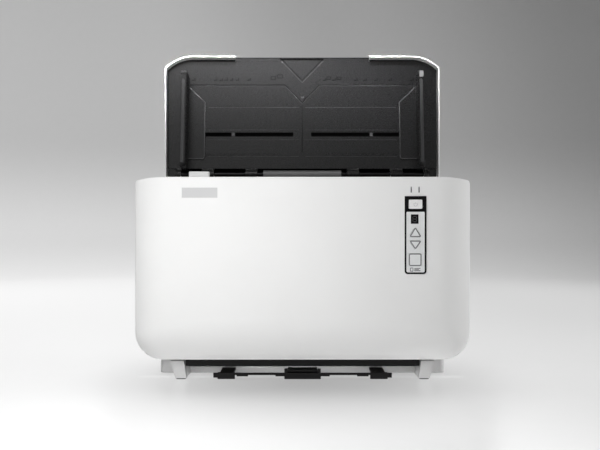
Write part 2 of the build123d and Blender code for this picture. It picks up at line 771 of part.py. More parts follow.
def separation_holder():
    """The cradle that holds the separation roller under the funnel floor."""
    centre = roller_centre(FEED_AT, SEPARATION_RADIUS, 1)
    cradle = path_box(around(0, SEPARATION_SHAFT_HALF), (HOLDER_BACK, HOLDER_ALONG[0]), HOLDER_OFF)
    for x in (-HOLDER_ARM, HOLDER_ARM):
        span = around(x, SADDLE_HALF)
        cradle += path_box(span, HOLDER_ALONG, HOLDER_OFF) - rod(centre, SHAFT_RADIUS + RUN_FIT, span)
    return cradle


def cover_latch():
    """The latch bar, its two hooks and the arm under the release button."""
    bar = rod(LATCH_AT, LATCH_RADIUS, around(0, CHEEK_X[1]))
    tooth = CATCH_AT[0] + CATCH_RADIUS + GAP
    tooth_foot = CATCH_AT[1] + CATCH_RADIUS + GAP
    under = HOOK_TOP - 3.5
    outline = [(24, 212), (30, 212), (34, under), (tooth, under), (tooth, tooth_foot)]
    outline += [(tooth + HOOK_TOOTH, tooth_foot + GAP), (tooth + HOOK_TOOTH, HOOK_TOP), (26, HOOK_TOP), (22, 217)]
    hook = side_prism(outline, HOOK_X) + rod(LATCH_AT, LATCH_RADIUS + 2, HOOK_X)
    arm = block(ARM_X, ARM_T, (ARM_FOOT, RELEASE_FOOT - GAP))
    return bar + hook + mirror(hook, about=Plane.YZ) + arm


# Rollers and drive

def drive_shaft(at, radius, places, half):
    """A steel shaft with the plain sleeves that carry its tyres."""
    centre = roller_centre(at, radius, -1)
    shaft = rod(centre, SHAFT_RADIUS, around(0, PLATE_X[1] + SHAFT_OUT))
    return shaft + [rod(centre, SLEEVE_RADIUS, around(x, half)) for x in places]


def tyres(at, radius, places, half):
    """Rubber tyres on one shaft."""
    centre = roller_centre(at, radius, -1)
    spans = [around(x, half) for x in places]
    return [rod(centre, radius, span) - rod(centre, SLEEVE_RADIUS, span) for span in spans]


def pulley(centre, radius):
    """A belt pulley with a cheek on each side."""
    cheeks = grown(PULLEY_X, PULLEY_CHEEK)
    body = rod(centre, radius, PULLEY_X)
    body += rod(centre, radius + PULLEY_RIM, (cheeks[0], PULLEY_X[0]))
    body += rod(centre, radius + PULLEY_RIM, (PULLEY_X[1], cheeks[1]))
    return body - rod(centre, SHAFT_RADIUS, grown(cheeks, CUT))


def motor_pulley():
    """The smallest pulley, in one piece with the motor's shaft."""
    shaft = rod(MOTOR_AT, SHAFT_RADIUS, (PULLEY_X[0] - SHAFT_OUT, PLATE_X[1] + MOTOR_SHAFT))
    return pulley(MOTOR_AT, MOTOR_PULLEY_RADIUS) + shaft


def drive_motor():
    """A flat stepper on the outside of the right plate, with the bore for its shaft."""
    reach, half, thick = MOTOR_LUG
    can = rod(MOTOR_AT, MOTOR_RADIUS, (PLATE_X[1], PLATE_X[1] + MOTOR_LONG))
    lugs = block((PLATE_X[1], PLATE_X[1] + thick), around(MOTOR_AT[0], reach), around(MOTOR_AT[1], half))
    return can + lugs - rod(MOTOR_AT, SHAFT_RADIUS + RUN_FIT, (PLATE_X[1] - CUT, PLATE_X[1] + MOTOR_BORE))


def drive_belt():
    """One belt round the exit, transport, feed and motor pulleys, drawn smooth."""
    wheels = [
        (roller_centre(EXIT_AT, DRIVE_RADIUS, -1), PULLEY_RADIUS),
        (roller_centre(FEED_AT, FEED_RADIUS, -1), FEED_PULLEY_RADIUS),
        (MOTOR_AT, MOTOR_PULLEY_RADIUS),
    ]
    circles = [Pos(*centre) * Circle(radius + BELT_GAP) for centre, radius in wheels]
    inner = make_hull([edge for circle in circles for edge in circle.edges()])
    x = grown(PULLEY_X, -BELT_INSET)
    face = side_plane(x[0]) * (offset(inner, amount=BELT_THICK) - inner)
    return extrude(face, amount=x[1] - x[0], dir=(1, 0, 0))


# Chassis and base

def chassis_frame():
    """Two steel side plates with their arms, joined by a folded cross member."""
    plate = side_prism(CHASSIS_OUTLINE, PLATE_X)
    plate += rod(COVER_HINGE, HINGE_EAR_RADIUS, PLATE_X) + rod(TRAY_HINGE, TRAY_EAR_RADIUS, PLATE_X)
    for at, radius in ((EXIT_AT, DRIVE_RADIUS), (TRANSPORT_AT, DRIVE_RADIUS), (FEED_AT, FEED_RADIUS)):
        plate -= rod(roller_centre(at, radius, -1), SHAFT_RADIUS + RUN_FIT, PLATE_X)
    plate -= rod(COVER_HINGE, PIN_RADIUS, PLATE_X)
    plate -= rod(TRAY_HINGE, TRAY_ROD_RADIUS, PLATE_X)
    plates = plate + mirror(plate, about=Plane.YZ)
    plates -= rod(MOTOR_AT, MOTOR_HOLE, PLATE_X)
    catches = pair(rod(CATCH_AT, CATCH_RADIUS, (HOOK_X[0] - GAP, PLATE_X[0])))
    inside = around(0, PLATE_X[0])
    return plates + catches + block(inside, MEMBER_T, MEMBER_Z) + block(inside, MEMBER_FOOT_T, MEMBER_FOOT_Z)


def leg():
    return front_prism(make_face(Polyline(*LEG_OUTLINE, close=True)), LEG_T)


def base_housing():
    """The grey tub under the machine, with its two front legs and the rail channels."""
    tub = block(around(0, BASE_HALF), BASE_T, (BASE_BOTTOM, BODY_BOTTOM))
    tub = fillet(tub.edges().filter_by(Axis.Z), BASE_ROUND)
    over = BODY_BOTTOM + CUT
    tub -= block(around(0, BASE_HALF - WALL), grown(BASE_T, -WALL), (CHASSIS_BOTTOM, over))
    tub -= block(around(0, MOUTH_HALF), MOUTH_T, (FRONT_WALL_TOP, over))
    tub -= pair(block(SIDE_MOUTH_X, MOUTH_T, (SIDE_MOUTH_FOOT, over)))
    tub -= pair(block(grown(RAIL_X, GAP), NOTCH_T, grown(RAIL_Z, GAP)))
    channel_z = (CHASSIS_BOTTOM, RAIL_Z[1])
    room = grown(RAIL_X, GAP)
    inner = pair(block((room[0] - CHANNEL_WALL, room[0]), CHANNEL_T, channel_z))
    outer = pair(block((room[1], room[1] + CHANNEL_WALL), CHANNEL_T, channel_z))
    return tub + pair(leg()) + inner + outer - rubber_feet()


def rubber_feet():
    """Two feet under the legs and two at the back, each let into the base."""
    feet = []
    for x, t in (FRONT_FOOT, REAR_FOOT):
        feet += pair(block(x, t, (0.0, FOOT_DEEP)))
    return feet


def exit_guard_bar():
    """The black bar that hangs over the paper exit between the legs."""
    return side_prism(GUARD_OUTLINE, around(0, GUARD_HALF)) + pair(block(GUARD_EAR_X, GUARD_EAR_T, GUARD_EAR_Z))


def side_cover_shape():
    """The outside of the right cover, rounded at the back corner and along the top."""
    solid = block((THROAT_HALF, BODY_HALF), SIDE_T, (BODY_BOTTOM, BODY_TOP))
    outer_edges = solid.edges().filter_by(Axis.Z).sort_by(Axis.X)[-2:]
    solid = fillet(outer_edges.sort_by(Axis.Y)[-1], CORNER_RADIUS)
    top_edge = solid.faces().sort_by(Axis.Z)[-1].edges().filter_by(Axis.Y).sort_by(Axis.X)[-1]
    return fillet(top_edge, SIDE_TOP_ROUND)


def side_cover_hollow():
    """The space inside the right cover, with its openings to the base and the rear cover."""
    start = THROAT_HALF - CUT
    z = grown((BODY_BOTTOM, BODY_TOP), -WALL)
    hollow = block((start, BODY_HALF - WALL), (SIDE_T[0] - CUT, DEPTH - WALL), z)
    inner_edges = hollow.edges().filter_by(Axis.Z).sort_by(Axis.X)[-2:]
    hollow = fillet(inner_edges.sort_by(Axis.Y)[-1], CORNER_RADIUS - WALL)
    floor = (BODY_BOTTOM - CUT, z[0] + WALL)
    hollow += block((start, BASE_HALF - WALL), (SIDE_T[0] - CUT, DEPTH + CUT), floor)
    back = (SIDE_OPEN_BACK, DEPTH + CUT)
    return hollow + block((start, REAR_HALF + GAP), back, grown((BODY_BOTTOM, BODY_TOP), CUT))


def side_cover():
    """The right side of the body: outer wall, floor, top, and the throat's side wall."""
    inside_top = BODY_TOP - WALL
    over = (inside_top - CUT, BODY_TOP + CUT)
    throat_x = (THROAT_HALF, THROAT_HALF + THROAT_WALL)
    cover = side_cover_shape() - side_cover_hollow()
    cover += block(throat_x, (SIDE_T[0], THROAT_WALL_BACK), (THROAT_FLOOR - SIDE_TOP_ROUND, inside_top))
    cover -= block(grown(PLATE_X, CUT), EAR_ROOM_T, over)
    cover -= block((THROAT_HALF - CUT, PLATE_X[0]), KNUCKLE_ROOM_T, over)
    return cover - block(grown(HOOK_X, GAP), (SIDE_T[0] - CUT, LATCH_ROOM_BACK), (BODY_BOTTOM, inside_top))


def rear_cover():
    """The back wall with its bent top, the connector openings and the vent slots."""
    across = around(0, REAR_HALF)
    top_t = (REAR_TOP_FRONT, DEPTH)
    cover = block(across, REAR_T, (BODY_BOTTOM, REAR_TOP))
    cover += block(across, top_t, (REAR_TOP - WALL, REAR_TOP))
    cover += block(across, (REAR_TOP_FRONT, REAR_TOP_FRONT + WALL), (REAR_INNER_FOOT, REAR_TOP))
    cover += pair(block((REAR_HALF - WALL, REAR_HALF), top_t, (BODY_TOP - WALL, REAR_TOP)))
    back_edge = cover.faces().sort_by(Axis.Y)[-1].edges().sort_by(Axis.Z)[-1]
    cover = fillet(back_edge, REAR_TOP_ROUND)
    room = (CONNECTOR_ROOM, DEPTH + CUT)
    cuts = [block(INLET_X, room, INLET_Z), block(PORT_X, room, PORT_Z)]
    for i in range(VENT_COUNT):
        x = VENT_START + i * VENT_PITCH
        cuts.append(block((x, x + VENT_WIDE), VENT_T, VENT_Z))
    bosses = [round_bar(x, z, BOSS_RADIUS, BOSS_T) for x, z in SCREW_PLACES]
    return cover + bosses - cuts - [rear_screw(x, z) for x, z in SCREW_PLACES]


def rear_screw(x, z):
    """One screw with a flat head, before its drive slots are cut."""
    head = round_bar(x, z, SCREW_HEAD_RADIUS, SCREW_HEAD_T)
    return head + round_bar(x, z, SCREW_RADIUS, (SCREW_BACK, SCREW_HEAD_T[0]))


def rear_screws():
    """The four screws of the rear cover, each with a cross slot."""
    long, short = DRIVE_SLOT
    screws = []
    for x, z in SCREW_PLACES:
        cross = block(around(x, long), DRIVE_SLOT_T, around(z, short))
        cross += block(around(x, short), DRIVE_SLOT_T, around(z, long))
        screws.append(rear_screw(x, z) - cross)
    return screws


def power_inlet():
    """The round low-voltage inlet in its square housing."""
    x, z = middle_of(INLET_X), middle_of(INLET_Z)
    radius, floor = INLET_WELL
    well = round_bar(x, z, radius, (floor, DEPTH))
    pin = round_bar(x, z, INLET_PIN[0], (INLET_PIN[1], INLET_PIN[2]))
    return block(INLET_X, INLET_T, INLET_Z) - well + pin


def data_port():
    """The square data port with its tongue."""
    well = block(grown(PORT_X, -PORT_WALL), PORT_WELL_T, grown(PORT_Z, -PORT_WALL))
    half_wide, half_high = PORT_TONGUE
    tongue_x, tongue_z = around(middle_of(PORT_X), half_wide), around(middle_of(PORT_Z), half_high)
    return block(PORT_X, PORT_T, PORT_Z) - well + block(tongue_x, PORT_TONGUE_T, tongue_z)


def main_board():
    """The main board, upright behind the cross member, with its larger parts and posts."""
    return block(*MAIN_BOARD) + [block(*chip) for chip in MAIN_CHIPS] + [block(*post) for post in MAIN_POSTS]


def rear_guide_plate():
    """The back side of the paper path, with windows for rollers and sensor."""
    middle = -PATH_GAP - GUIDE_THICK / 2
    line = [path_point(along, middle) for along in REAR_GUIDE_ALONG]
    plate = side_prism(band(line, GUIDE_THICK), around(0, GUIDE_HALF))
    plate -= path_box(around(0, SENSOR_HALF), REAR_SENSOR, (-WINDOW_CUT, 0))
    plate -= tyre_windows((-WINDOW_CUT, 0))
    flanges = pair(path_box((GUIDE_HALF, PLATE_X[0]), PLATE_FLANGE_ALONG, PLATE_FLANGE_OFF))
    rims = pair(path_box((GUIDE_HALF - GUIDE_THICK, GUIDE_HALF), PLATE_FLANGE_ALONG, PLATE_RIM_OFF))
    return plate + rims + flanges


def throat_chute():
    """The back of the throat: from the paper path up to the hinge barrel."""
    middle = -PATH_GAP - GUIDE_THICK / 2
    path_height = PATH_START[1] + (CHUTE_T - PATH_START[0]) * math.tan(PATH_ANGLE)
    line = [path_point(CHUTE_START, middle), (CHUTE_T, path_height - CHUTE_BEND), (CHUTE_T, CHUTE_TOP)]
    plate = side_prism(band(line, GUIDE_THICK), around(0, CHUTE_HALF))
    plate -= path_box(around(0, CHUTE_WINDOW_HALF), CHUTE_WINDOW_ALONG, CHUTE_WINDOW_OFF)
    return plate + [block(around(x, RIB_HALF), CHUTE_RIB_T, CHUTE_RIB_Z) for x in CHUTE_RIB_PLACES]


def hinge_barrel():
    """The grey barrel in the middle of the tray hinge, on a web from the chute."""
    span = around(0, BARREL_HALF)
    barrel = rod(TRAY_HINGE, KNUCKLE_RADIUS, span)
    barrel += block(around(0, BARREL_WEB_HALF), BARREL_WEB_T, (CHUTE_TOP, TRAY_HINGE[1]))
    return barrel - rod(TRAY_HINGE, TRAY_ROD_RADIUS, span)


def tray_hinge_rod():
    return rod(TRAY_HINGE, TRAY_ROD_RADIUS, around(0, PLATE_X[1] + TRAY_ROD_END))


def cover_hinge_pins():
    return pair(rod(COVER_HINGE, PIN_RADIUS, (PLATE_X[0] - CUT, CHEEK_X[1] + CUT)))


# Input tray, first drawn upright and then leaned back about the hinge line

def lean(shape):
    """Turn an upright tray piece back about the hinge line."""
    y, z = FRONT_Y + TRAY_HINGE[0], TRAY_HINGE[1]
    return Pos(0, y, z) * Rot(-TRAY_LEAN, 0, 0) * Pos(0, -y, -z) * shape


def tray_block(x, up, out):
    """A box in the tray's own directions, measured from the hinge line."""
    t = (TRAY_HINGE[0] - out[1], TRAY_HINGE[0] - out[0])
    z = (TRAY_HINGE[1] + up[0], TRAY_HINGE[1] + up[1])
    return block(x, t, z)


def tray_prism(face, out):
    """A solid with an outline in X and along the tray, between two heights out of it."""
    raised = Pos(0, TRAY_HINGE[1]) * face
    return front_prism(raised, (TRAY_HINGE[0] - out[1], TRAY_HINGE[0] - out[0]))


def tray_face(inset, foot):
    """The tray's outline: slightly wider at the top, with its top corners cut by an arc."""
    low, side, top = TRAY_HALF_FOOT - inset, TRAY_HALF_TOP - inset, TRAY_TOP - inset
    a = (side, TRAY_CORNER[1] - inset / 2)
    b = (TRAY_CORNER[0] - inset / 2, top)
    dx, dy = unit(a, b)
    middle = ((a[0] + b[0]) / 2 + TRAY_CORNER_BULGE * dy, (a[1] + b[1]) / 2 - TRAY_CORNER_BULGE * dx)
    right = [Line((low, foot), a), ThreePointArc(a, middle, b)]
    left = [mirror(edge, about=Plane.YZ) for edge in right]
    across = [Line((-b[0], top), b), Line((-low, foot), (low, foot))]
    return make_face(right + left + across)


def knuckle(span):
    """One hinge knuckle of the tray with the web and foot that carry it."""
    web = tray_block(span, KNUCKLE_WEB_UP, KNUCKLE_WEB_OUT)
    foot = tray_block(span, KNUCKLE_FOOT_UP, KNUCKLE_FOOT_OUT)
    return rod(TRAY_HINGE, KNUCKLE_RADIUS, span) + web + foot


def tray_back_cover():
    """The white shell of the tray: back wall, rim and hinge knuckles."""
    shell = tray_prism(tray_face(0, TRAY_FOOT), (TRAY_BACK, RIM_FRONT))
    shell -= tray_prism(tray_face(RIM_WALL, TRAY_FOOT - CUT), (TRAY_BACK + WALL, RIM_FRONT + CUT))
    gap_up = (LIP_UP[0] - LIP_GAP_DEEP, TRAY_TOP + CUT)
    shell -= tray_block(around(0, LIP_HALF + GAP), gap_up, (-GAP / 2, RIM_FRONT + CUT))
    post = tray_prism(Pos(0, PINION_UP) * Circle(POST_RADIUS), (INNER_BACK, POST_TOP))
    shelf = tray_prism(Pos(0, PINION_UP) * Circle(SHELF_RADIUS), (INNER_BACK, RACK_OUT[0] - GAP))
    rails = pair(tray_block(EXTENSION_RAIL_X, EXTENSION_RAIL_UP, (INNER_BACK, EXTENSION_RAIL_TOP)))
    beds = pair(tray_block(RACK_BED_X, RACK_BED_UP, (INNER_BACK, RACK_BED_TOP)))
    knuckles = [side for span in KNUCKLES for side in pair(knuckle(span))]
    bores = [side for span in KNUCKLES for side in pair(rod(TRAY_HINGE, TRAY_ROD_RADIUS + RUN_FIT, span))]
    return lean(shell + knuckles + [post, shelf] + rails + beds - bores)


def notch_cuts():
    """The V notch in the panel's top edge, with a bevel round it."""
    top = TRAY_TOP + CUT
    reach = NOTCH_HALF * (top - NOTCH_TIP) / (TRAY_TOP - RIM_WALL - NOTCH_TIP)
    notch = make_face(Polyline((-reach, top), (0, NOTCH_TIP), (reach, top), close=True))
    bevel = offset(notch, amount=NOTCH_BEVEL)
    over = PANEL_OUT[1] + CUT
    return [tray_prism(notch, grown(PANEL_OUT, CUT)), tray_prism(bevel, (PANEL_OUT[1] - NOTCH_BEVEL_DEEP, over))]


def line_cuts():
    """The shallow lines in the panel's face: the long V line, the middle seam and the fine lines."""
    over = PANEL_OUT[1] + CUT
    line = [(-LINE_HALF, LINE_UP), (-LINE_V_HALF, LINE_UP), (0, LINE_V_TIP), (LINE_V_HALF, LINE_UP)]
    line.append((LINE_HALF, LINE_UP))
    groove = (PANEL_OUT[1] - LINE_DEEP, over)
    cuts = [tray_prism(make_face(Polyline(*band(line, LINE_WIDE), close=True)), groove)]
    cuts.append(tray_block(around(0, SEAM_HALF), SEAM_UP, groove))
    for up in FINE_LINES:
        cuts += pair(tray_block(FINE_LINE_X, around(up, FINE_LINE), (PANEL_OUT[1] - FINE_LINE, over)))
    return cuts


def tray_panel():
    """The black panel the sheets lean on: V notch, lines, dark slots and guide slots."""
    panel = tray_prism(tray_face(RIM_WALL, PANEL_FOOT), PANEL_OUT)
    cuts = notch_cuts() + line_cuts()
    cuts.append(tray_block(around(0, LIP_HALF + GAP), (LIP_UP[0] - GAP, TRAY_TOP + CUT), grown(PANEL_OUT, CUT)))
    for span in SLOT_SPANS:
        cuts += pair(tray_block(span, SLOT_UP, (PANEL_OUT[1] - SLOT_DEEP, PANEL_OUT[1] + CUT)))
    cuts += pair(tray_block(GUIDE_SLOT_X, GUIDE_SLOT_UP, grown(PANEL_OUT, CUT)))
    return lean(panel - cuts)


def tray_extension():
    """The pull-out plate behind the panel, with its grip lip in the rim's gap."""
    plate = tray_block(around(0, LIP_HALF - GAP), (EXTENSION_FOOT, LIP_UP[1]), EXTENSION_OUT)
    lip = tray_block(around(0, LIP_HALF), LIP_UP, (EXTENSION_OUT[0], RIM_FRONT))
    lip = fillet(lip.edges().filter_by(Axis.X).sort_by(Axis.Y)[:2], LIP_ROUND)
    return lean(plate + lip)


# Paper guides, each with a rack that meets the pinion

def pinion_face():
    """A gear outline with straight-sided teeth."""
    root, tip = PINION_RADIUS - DEDENDUM, PINION_RADIUS + ADDENDUM
    points = []
    for i in range(PINION_TEETH):
        turn = 2 * math.pi * i / PINION_TEETH
        for radius, half in ((root, -ROOT_HALF), (tip, -TIP_HALF), (tip, TIP_HALF), (root, ROOT_HALF)):
            angle = turn + half / PINION_RADIUS
            points.append((radius * math.cos(angle), radius * math.sin(angle)))
    return make_face(Polyline(*points, close=True))


def guide_pinion():
    gear = pinion_face() - Circle(POST_RADIUS + RUN_FIT)
    return lean(tray_prism(Pos(0, PINION_UP) * gear, RACK_OUT))


def rack_face():
    """A toothed bar whose teeth point down to a pitch line at height zero."""
    spine = DEDENDUM + RACK_SPINE
    points = [(RACK_REACH, spine), (RACK_START, spine), (RACK_START, DEDENDUM)]
    for k in range(FIRST_TOOTH, int(RACK_REACH / PITCH)):
        middle = (k + 0.5) * PITCH
        points += [(middle - ROOT_HALF, DEDENDUM), (middle - TIP_HALF, -ADDENDUM)]
        points += [(middle + TIP_HALF, -ADDENDUM), (middle + ROOT_HALF, DEDENDUM)]
    points.append((RACK_REACH, DEDENDUM))
    return make_face(Polyline(*points, close=True))


def fence():
    """The tall side of the right guide, standing out of the tray, hollow with rounded corners."""
    x = (GUIDE_CLEAR_HALF, GUIDE_CLEAR_HALF + FENCE_THICK)
    wall = tray_block(x, FENCE_UP, (FOOT_OUT[0], FENCE_FRONT))
    wall = fillet(wall.edges().filter_by(Axis.X).sort_by(Axis.Y)[:2], FENCE_ROUND)
    room_out = (FOOT_OUT[0] - CUT, FENCE_FRONT - FENCE_CAP)
    return wall - tray_block(grown(x, -FENCE_WALL), grown(FENCE_UP, -FENCE_END), room_out)


def right_side_guide():
    """Fence, foot plate and the tab through the slot, without the rack."""
    outline = [(GUIDE_CLEAR_HALF, FOOT_UP[0]), (FOOT_INNER, FOOT_UP[0]), (FOOT_INNER, FOOT_CHAMFER_UP)]
    outline.append((GUIDE_CLEAR_HALF, FOOT_UP[1]))
    foot = tray_prism(make_face(Polyline(*outline, close=True)), FOOT_OUT)
    tab = tray_block(TAB_X, grown(GUIDE_SLOT_UP, -TAB_PLAY), (RACK_OUT[0], FOOT_OUT[0]))
    return fence() + foot + tab


def left_guide():
    """The guide on the left, whose rack runs above the pinion."""
    web_up = (GUIDE_SLOT_UP[0] + TAB_PLAY, PINION_UP + PINION_RADIUS + RACK_SPINE)
    web = mirror(tray_block(TAB_WEB_X, web_up, RACK_OUT), about=Plane.YZ)
    rack = tray_prism(Pos(0, PINION_UP + PINION_RADIUS) * rack_face(), RACK_OUT)
    return lean(mirror(right_side_guide(), about=Plane.YZ) + web + rack)


def right_guide():
    """The guide on the right, whose rack runs below the pinion."""
    web_up = (PINION_UP - PINION_RADIUS - RACK_SPINE, GUIDE_SLOT_UP[1] - TAB_PLAY)
    web = tray_block(TAB_WEB_X, web_up, RACK_OUT)
    turned = Pos(0, PINION_UP - PINION_RADIUS) * Rot(0, 0, 180) * rack_face()
    return lean(right_side_guide() + web + tray_prism(turned, RACK_OUT))


# Output frame and paper stop

def output_tray():
    """The sliding frame: front bar, two rails with pads, bumps and the seat of the stop."""
    frame = block(around(0, BAR_HALF), BAR_T, BAR_Z)
    frame += pair(block(RAIL_X, RAIL_T, RAIL_Z)) + pair(block(*PAD)) + pair(block(*PAD_HOOK))
    for span in BUMP_SPANS:
        frame += pair(block(span, BUMP_T, BUMP_Z))
    ears = pair(block(EAR_X, EAR_T, EAR_Z))
    seat = block(around(0, SEAT_HALF), SEAT_T, SEAT_Z)
    return frame + seat + ears - rod(STOP_PIN, STOP_PIN_RADIUS + RUN_FIT, around(0, SEAT_HALF + CUT))


def paper_stop():
    """The flap that lies back under the bar and stands up when the frame is out."""
    flap = block(around(0, STOP_HALF), STOP_T, STOP_Z)
    flap += rod(STOP_PIN, STOP_NOSE_RADIUS, around(0, STOP_HALF))
    flap += rod(STOP_PIN, STOP_PIN_RADIUS, around(0, SEAT_HALF))
    return flap - block(*STOP_STEP)


# Every piece by its name

def both_sides(shape):
    """A right-hand piece and its left-hand mirror image."""
    return {"right": shape, "left": mirror(shape, about=Plane.YZ)}


def save_drive_set(name, at, radius, places, half, wheel):
    """A driven roller: its shaft, its tyres and its pulley."""
    save(f"{name}_shaft", drive_shaft(at, radius, places, half))
    save(f"{name}_tyres", tyres(at, radius, places, half))
    save(f"{name}_pulley", pulley(roller_centre(at, radius, -1), wheel))


PLAIN_PIECES = (
    front_shell, name_plate, indicator_lenses, panel_bezel, panel_plate, display_window, control_board,
    release_button, front_inner_frame, front_guide_plate, pinch_brackets, separation_roller,
    separation_holder, cover_latch, chassis_frame, base_housing, rubber_feet, exit_guard_bar, rear_cover,
    rear_screws, power_inlet, data_port, main_board, drive_motor, motor_pulley, drive_belt,
    rear_guide_plate, throat_chute, hinge_barrel, tray_hinge_rod, cover_hinge_pins, tray_back_cover,
    tray_panel, tray_extension, left_guide, right_guide, guide_pinion, output_tray, paper_stop,
)


def main():
    os.makedirs("parts", exist_ok=True)
    for piece in PLAIN_PIECES:
        save(piece.__name__, piece())
    for name in key_faces():
        save(name, key(name))
    for side, cover in both_sides(side_cover()).items():
        save(f"{side}_side_cover", cover)
    for side, window, sign in (("front", FRONT_SENSOR, 1), ("rear", REAR_SENSOR, -1)):
        save(f"{side}_sensor_module", sensor_module(window, sign))
        save(f"{side}_sensor_glass", sensor_glass(window, sign))
    for name, at in (("exit", EXIT_AT), ("transport", TRANSPORT_AT)):
        save(f"{name}_pinch_roller", pinch_roller(at))
        save_drive_set(f"{name}_roller", at, DRIVE_RADIUS, TYRE_PLACES, TYRE_HALF, PULLEY_RADIUS)
    save_drive_set("feed_roller", FEED_AT, FEED_RADIUS, (0.0,), FEED_TYRE_HALF, FEED_PULLEY_RADIUS)


main()
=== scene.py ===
"""Dresses the document scanner: shells, keys, tray marks, rollers, drive, boards and the studio."""
import json

import bmesh
import bpy
import numpy as np
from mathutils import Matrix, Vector


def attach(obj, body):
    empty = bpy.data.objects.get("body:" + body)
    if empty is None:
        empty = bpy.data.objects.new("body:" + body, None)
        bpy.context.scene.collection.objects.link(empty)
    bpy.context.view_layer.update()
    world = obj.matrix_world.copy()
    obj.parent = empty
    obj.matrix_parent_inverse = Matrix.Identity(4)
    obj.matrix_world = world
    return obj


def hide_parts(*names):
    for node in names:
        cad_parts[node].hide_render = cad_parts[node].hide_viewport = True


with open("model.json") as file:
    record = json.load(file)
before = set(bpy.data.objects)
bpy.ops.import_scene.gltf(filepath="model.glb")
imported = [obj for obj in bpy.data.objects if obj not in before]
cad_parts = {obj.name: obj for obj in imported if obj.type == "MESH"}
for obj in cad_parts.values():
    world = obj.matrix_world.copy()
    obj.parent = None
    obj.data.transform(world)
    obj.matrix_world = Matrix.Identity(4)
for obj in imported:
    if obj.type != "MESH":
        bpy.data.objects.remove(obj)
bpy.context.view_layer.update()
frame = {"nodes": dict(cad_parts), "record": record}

bl_info = {
    "name": "Document scanner",
    "version": (1, 0, 0),
    "blender": (4, 5, 0),
    "location": "3D View > Sidebar > Scanner",
    "description": "Builds the visible surfaces of a sheet-fed document scanner round its frame",
    "category": "Object",
}

MM = 0.001

# Places on the machine, in millimetres: t is the depth behind the front face

FRONT_Y = -108.0
PATH_START, PATH_ANGLE = (60.0, 20.0), np.radians(59.72)
TRAY_HINGE, TRAY_ANGLE = (179.5, 250.0), np.radians(82.0)


def front_place(points):
    """(x, t, z) in millimetres to metres in the room: depth t runs from the front face to the back."""
    return (np.asarray(points, float) + (0, FRONT_Y, 0)) * MM


def face_place(points):
    """(x, z, t) of something drawn as it is seen from the front, to metres."""
    return front_place(points[:, [0, 2, 1]])


def sloping_place(start, angle):
    """The place of (x, along, off) points: along climbs from start to the back, and off points forward,
    square to it."""
    sin, cos = np.sin(angle), np.cos(angle)

    def place(points):
        x, along, off = np.asarray(points, float).T
        t = start[0] + along * cos - off * sin
        return front_place(np.stack([x, t, start[1] + along * sin + off * cos], axis=1))

    return place


tray_place = sloping_place(TRAY_HINGE, TRAY_ANGLE)
path_place = sloping_place(PATH_START, PATH_ANGLE)

# Meshes


class Body:
    """Vertices and faces of a piece in its own directions, before they are put in place."""

    def __init__(self, points, loops, sizes):
        self.points = np.asarray(points, float).reshape(-1, 3)
        self.loops = np.asarray(loops, int).ravel()
        self.sizes = np.asarray(sizes, int).ravel()

    def on(self, points):
        """The same faces on other points."""
        return Body(points, self.loops, self.sizes)

    def moved(self, by):
        """The body moved by a step in each of its directions."""
        return self.on(self.points + np.asarray(by, float))

    def mirrored(self):
        """The body's mirror image in x."""
        return self.on(self.points * [-1, 1, 1])


def joined(bodies):
    """Several bodies as one: their arrays end to end, each one's loops raised by the points before it."""
    starts = np.cumsum([0] + [len(body.points) for body in bodies])
    return Body(np.concatenate([body.points for body in bodies]),
                np.concatenate([body.loops + start for body, start in zip(bodies, starts)]),
                np.concatenate([body.sizes for body in bodies]))


def pair_of(body):
    """A body and its mirror image in x; faces are turned outwards when the piece is made."""
    return joined([body, body.mirrored()])


def lattice(points, wrap_u=False, wrap_v=False, keep=None, caps=False):
    """Quads between the points of a grid: point (i, j) joins (i+1, j), (i+1, j+1) and (i, j+1)."""
    n, m = points.shape[:2]
    rings = np.arange(n * m).reshape(n, m)
    number = np.vstack([rings, rings[:1]]) if wrap_u else rings
    if wrap_v:
        number = np.hstack([number, number[:, :1]])
    quads = np.stack([number[:-1, :-1], number[1:, :-1], number[1:, 1:], number[:-1, 1:]], axis=-1)
    if keep is not None:
        used, loops = np.unique(quads[keep].ravel(), return_inverse=True)
        return Body(points.reshape(-1, 3)[used], loops, np.full(len(loops) // 4, 4))
    loops, sizes = [quads.ravel()], [np.full(quads.size // 4, 4)]
    if caps:
        loops += [rings[0], rings[-1][::-1]]
        sizes += [[m], [m]]
    return Body(points.reshape(-1, 3), np.concatenate(loops), np.concatenate(sizes))


def new_object(name, points, body, material):
    """A mesh object with a body's faces on points in metres."""
    mesh = bpy.data.meshes.new(name)
    mesh.vertices.add(len(points))
    mesh.vertices.foreach_set("co", points.ravel())
    mesh.loops.add(len(body.loops))
    mesh.loops.foreach_set("vertex_index", body.loops)
    mesh.polygons.add(len(body.sizes))
    mesh.polygons.foreach_set("loop_start", np.cumsum(body.sizes) - body.sizes)
    mesh.update(calc_edges=True)
    mesh.validate()
    mesh.materials.append(material)
    made = bpy.data.objects.new(name, mesh)
    bpy.context.scene.collection.objects.link(made)
    return made


def make_piece(name, body, place, slot, rides, finish=None, replaces=(), smooth=35):
    """Put a body in its place as a piece that rides on a moving part of the machine. Doubled points are
    merged and faces turned outwards; the finish is the slot's own unless another is named."""
    piece = new_object(name, place(body.points), body, FINISHES[finish or slot])
    work = bmesh.new()
    work.from_mesh(piece.data)
    bmesh.ops.remove_doubles(work, verts=work.verts, dist=1e-7)
    bmesh.ops.recalc_face_normals(work, faces=work.faces)
    work.to_mesh(piece.data)
    work.free()
    piece.data.shade_smooth()
    piece.data.set_sharp_from_angle(angle=np.radians(smooth))
    if replaces:
        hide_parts(*replaces)
    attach(piece, rides)
    return piece


def wider(span, by):
    """A span drawn out by so much at both ends, or drawn in where that is negative."""
    return span[0] - by, span[1] + by


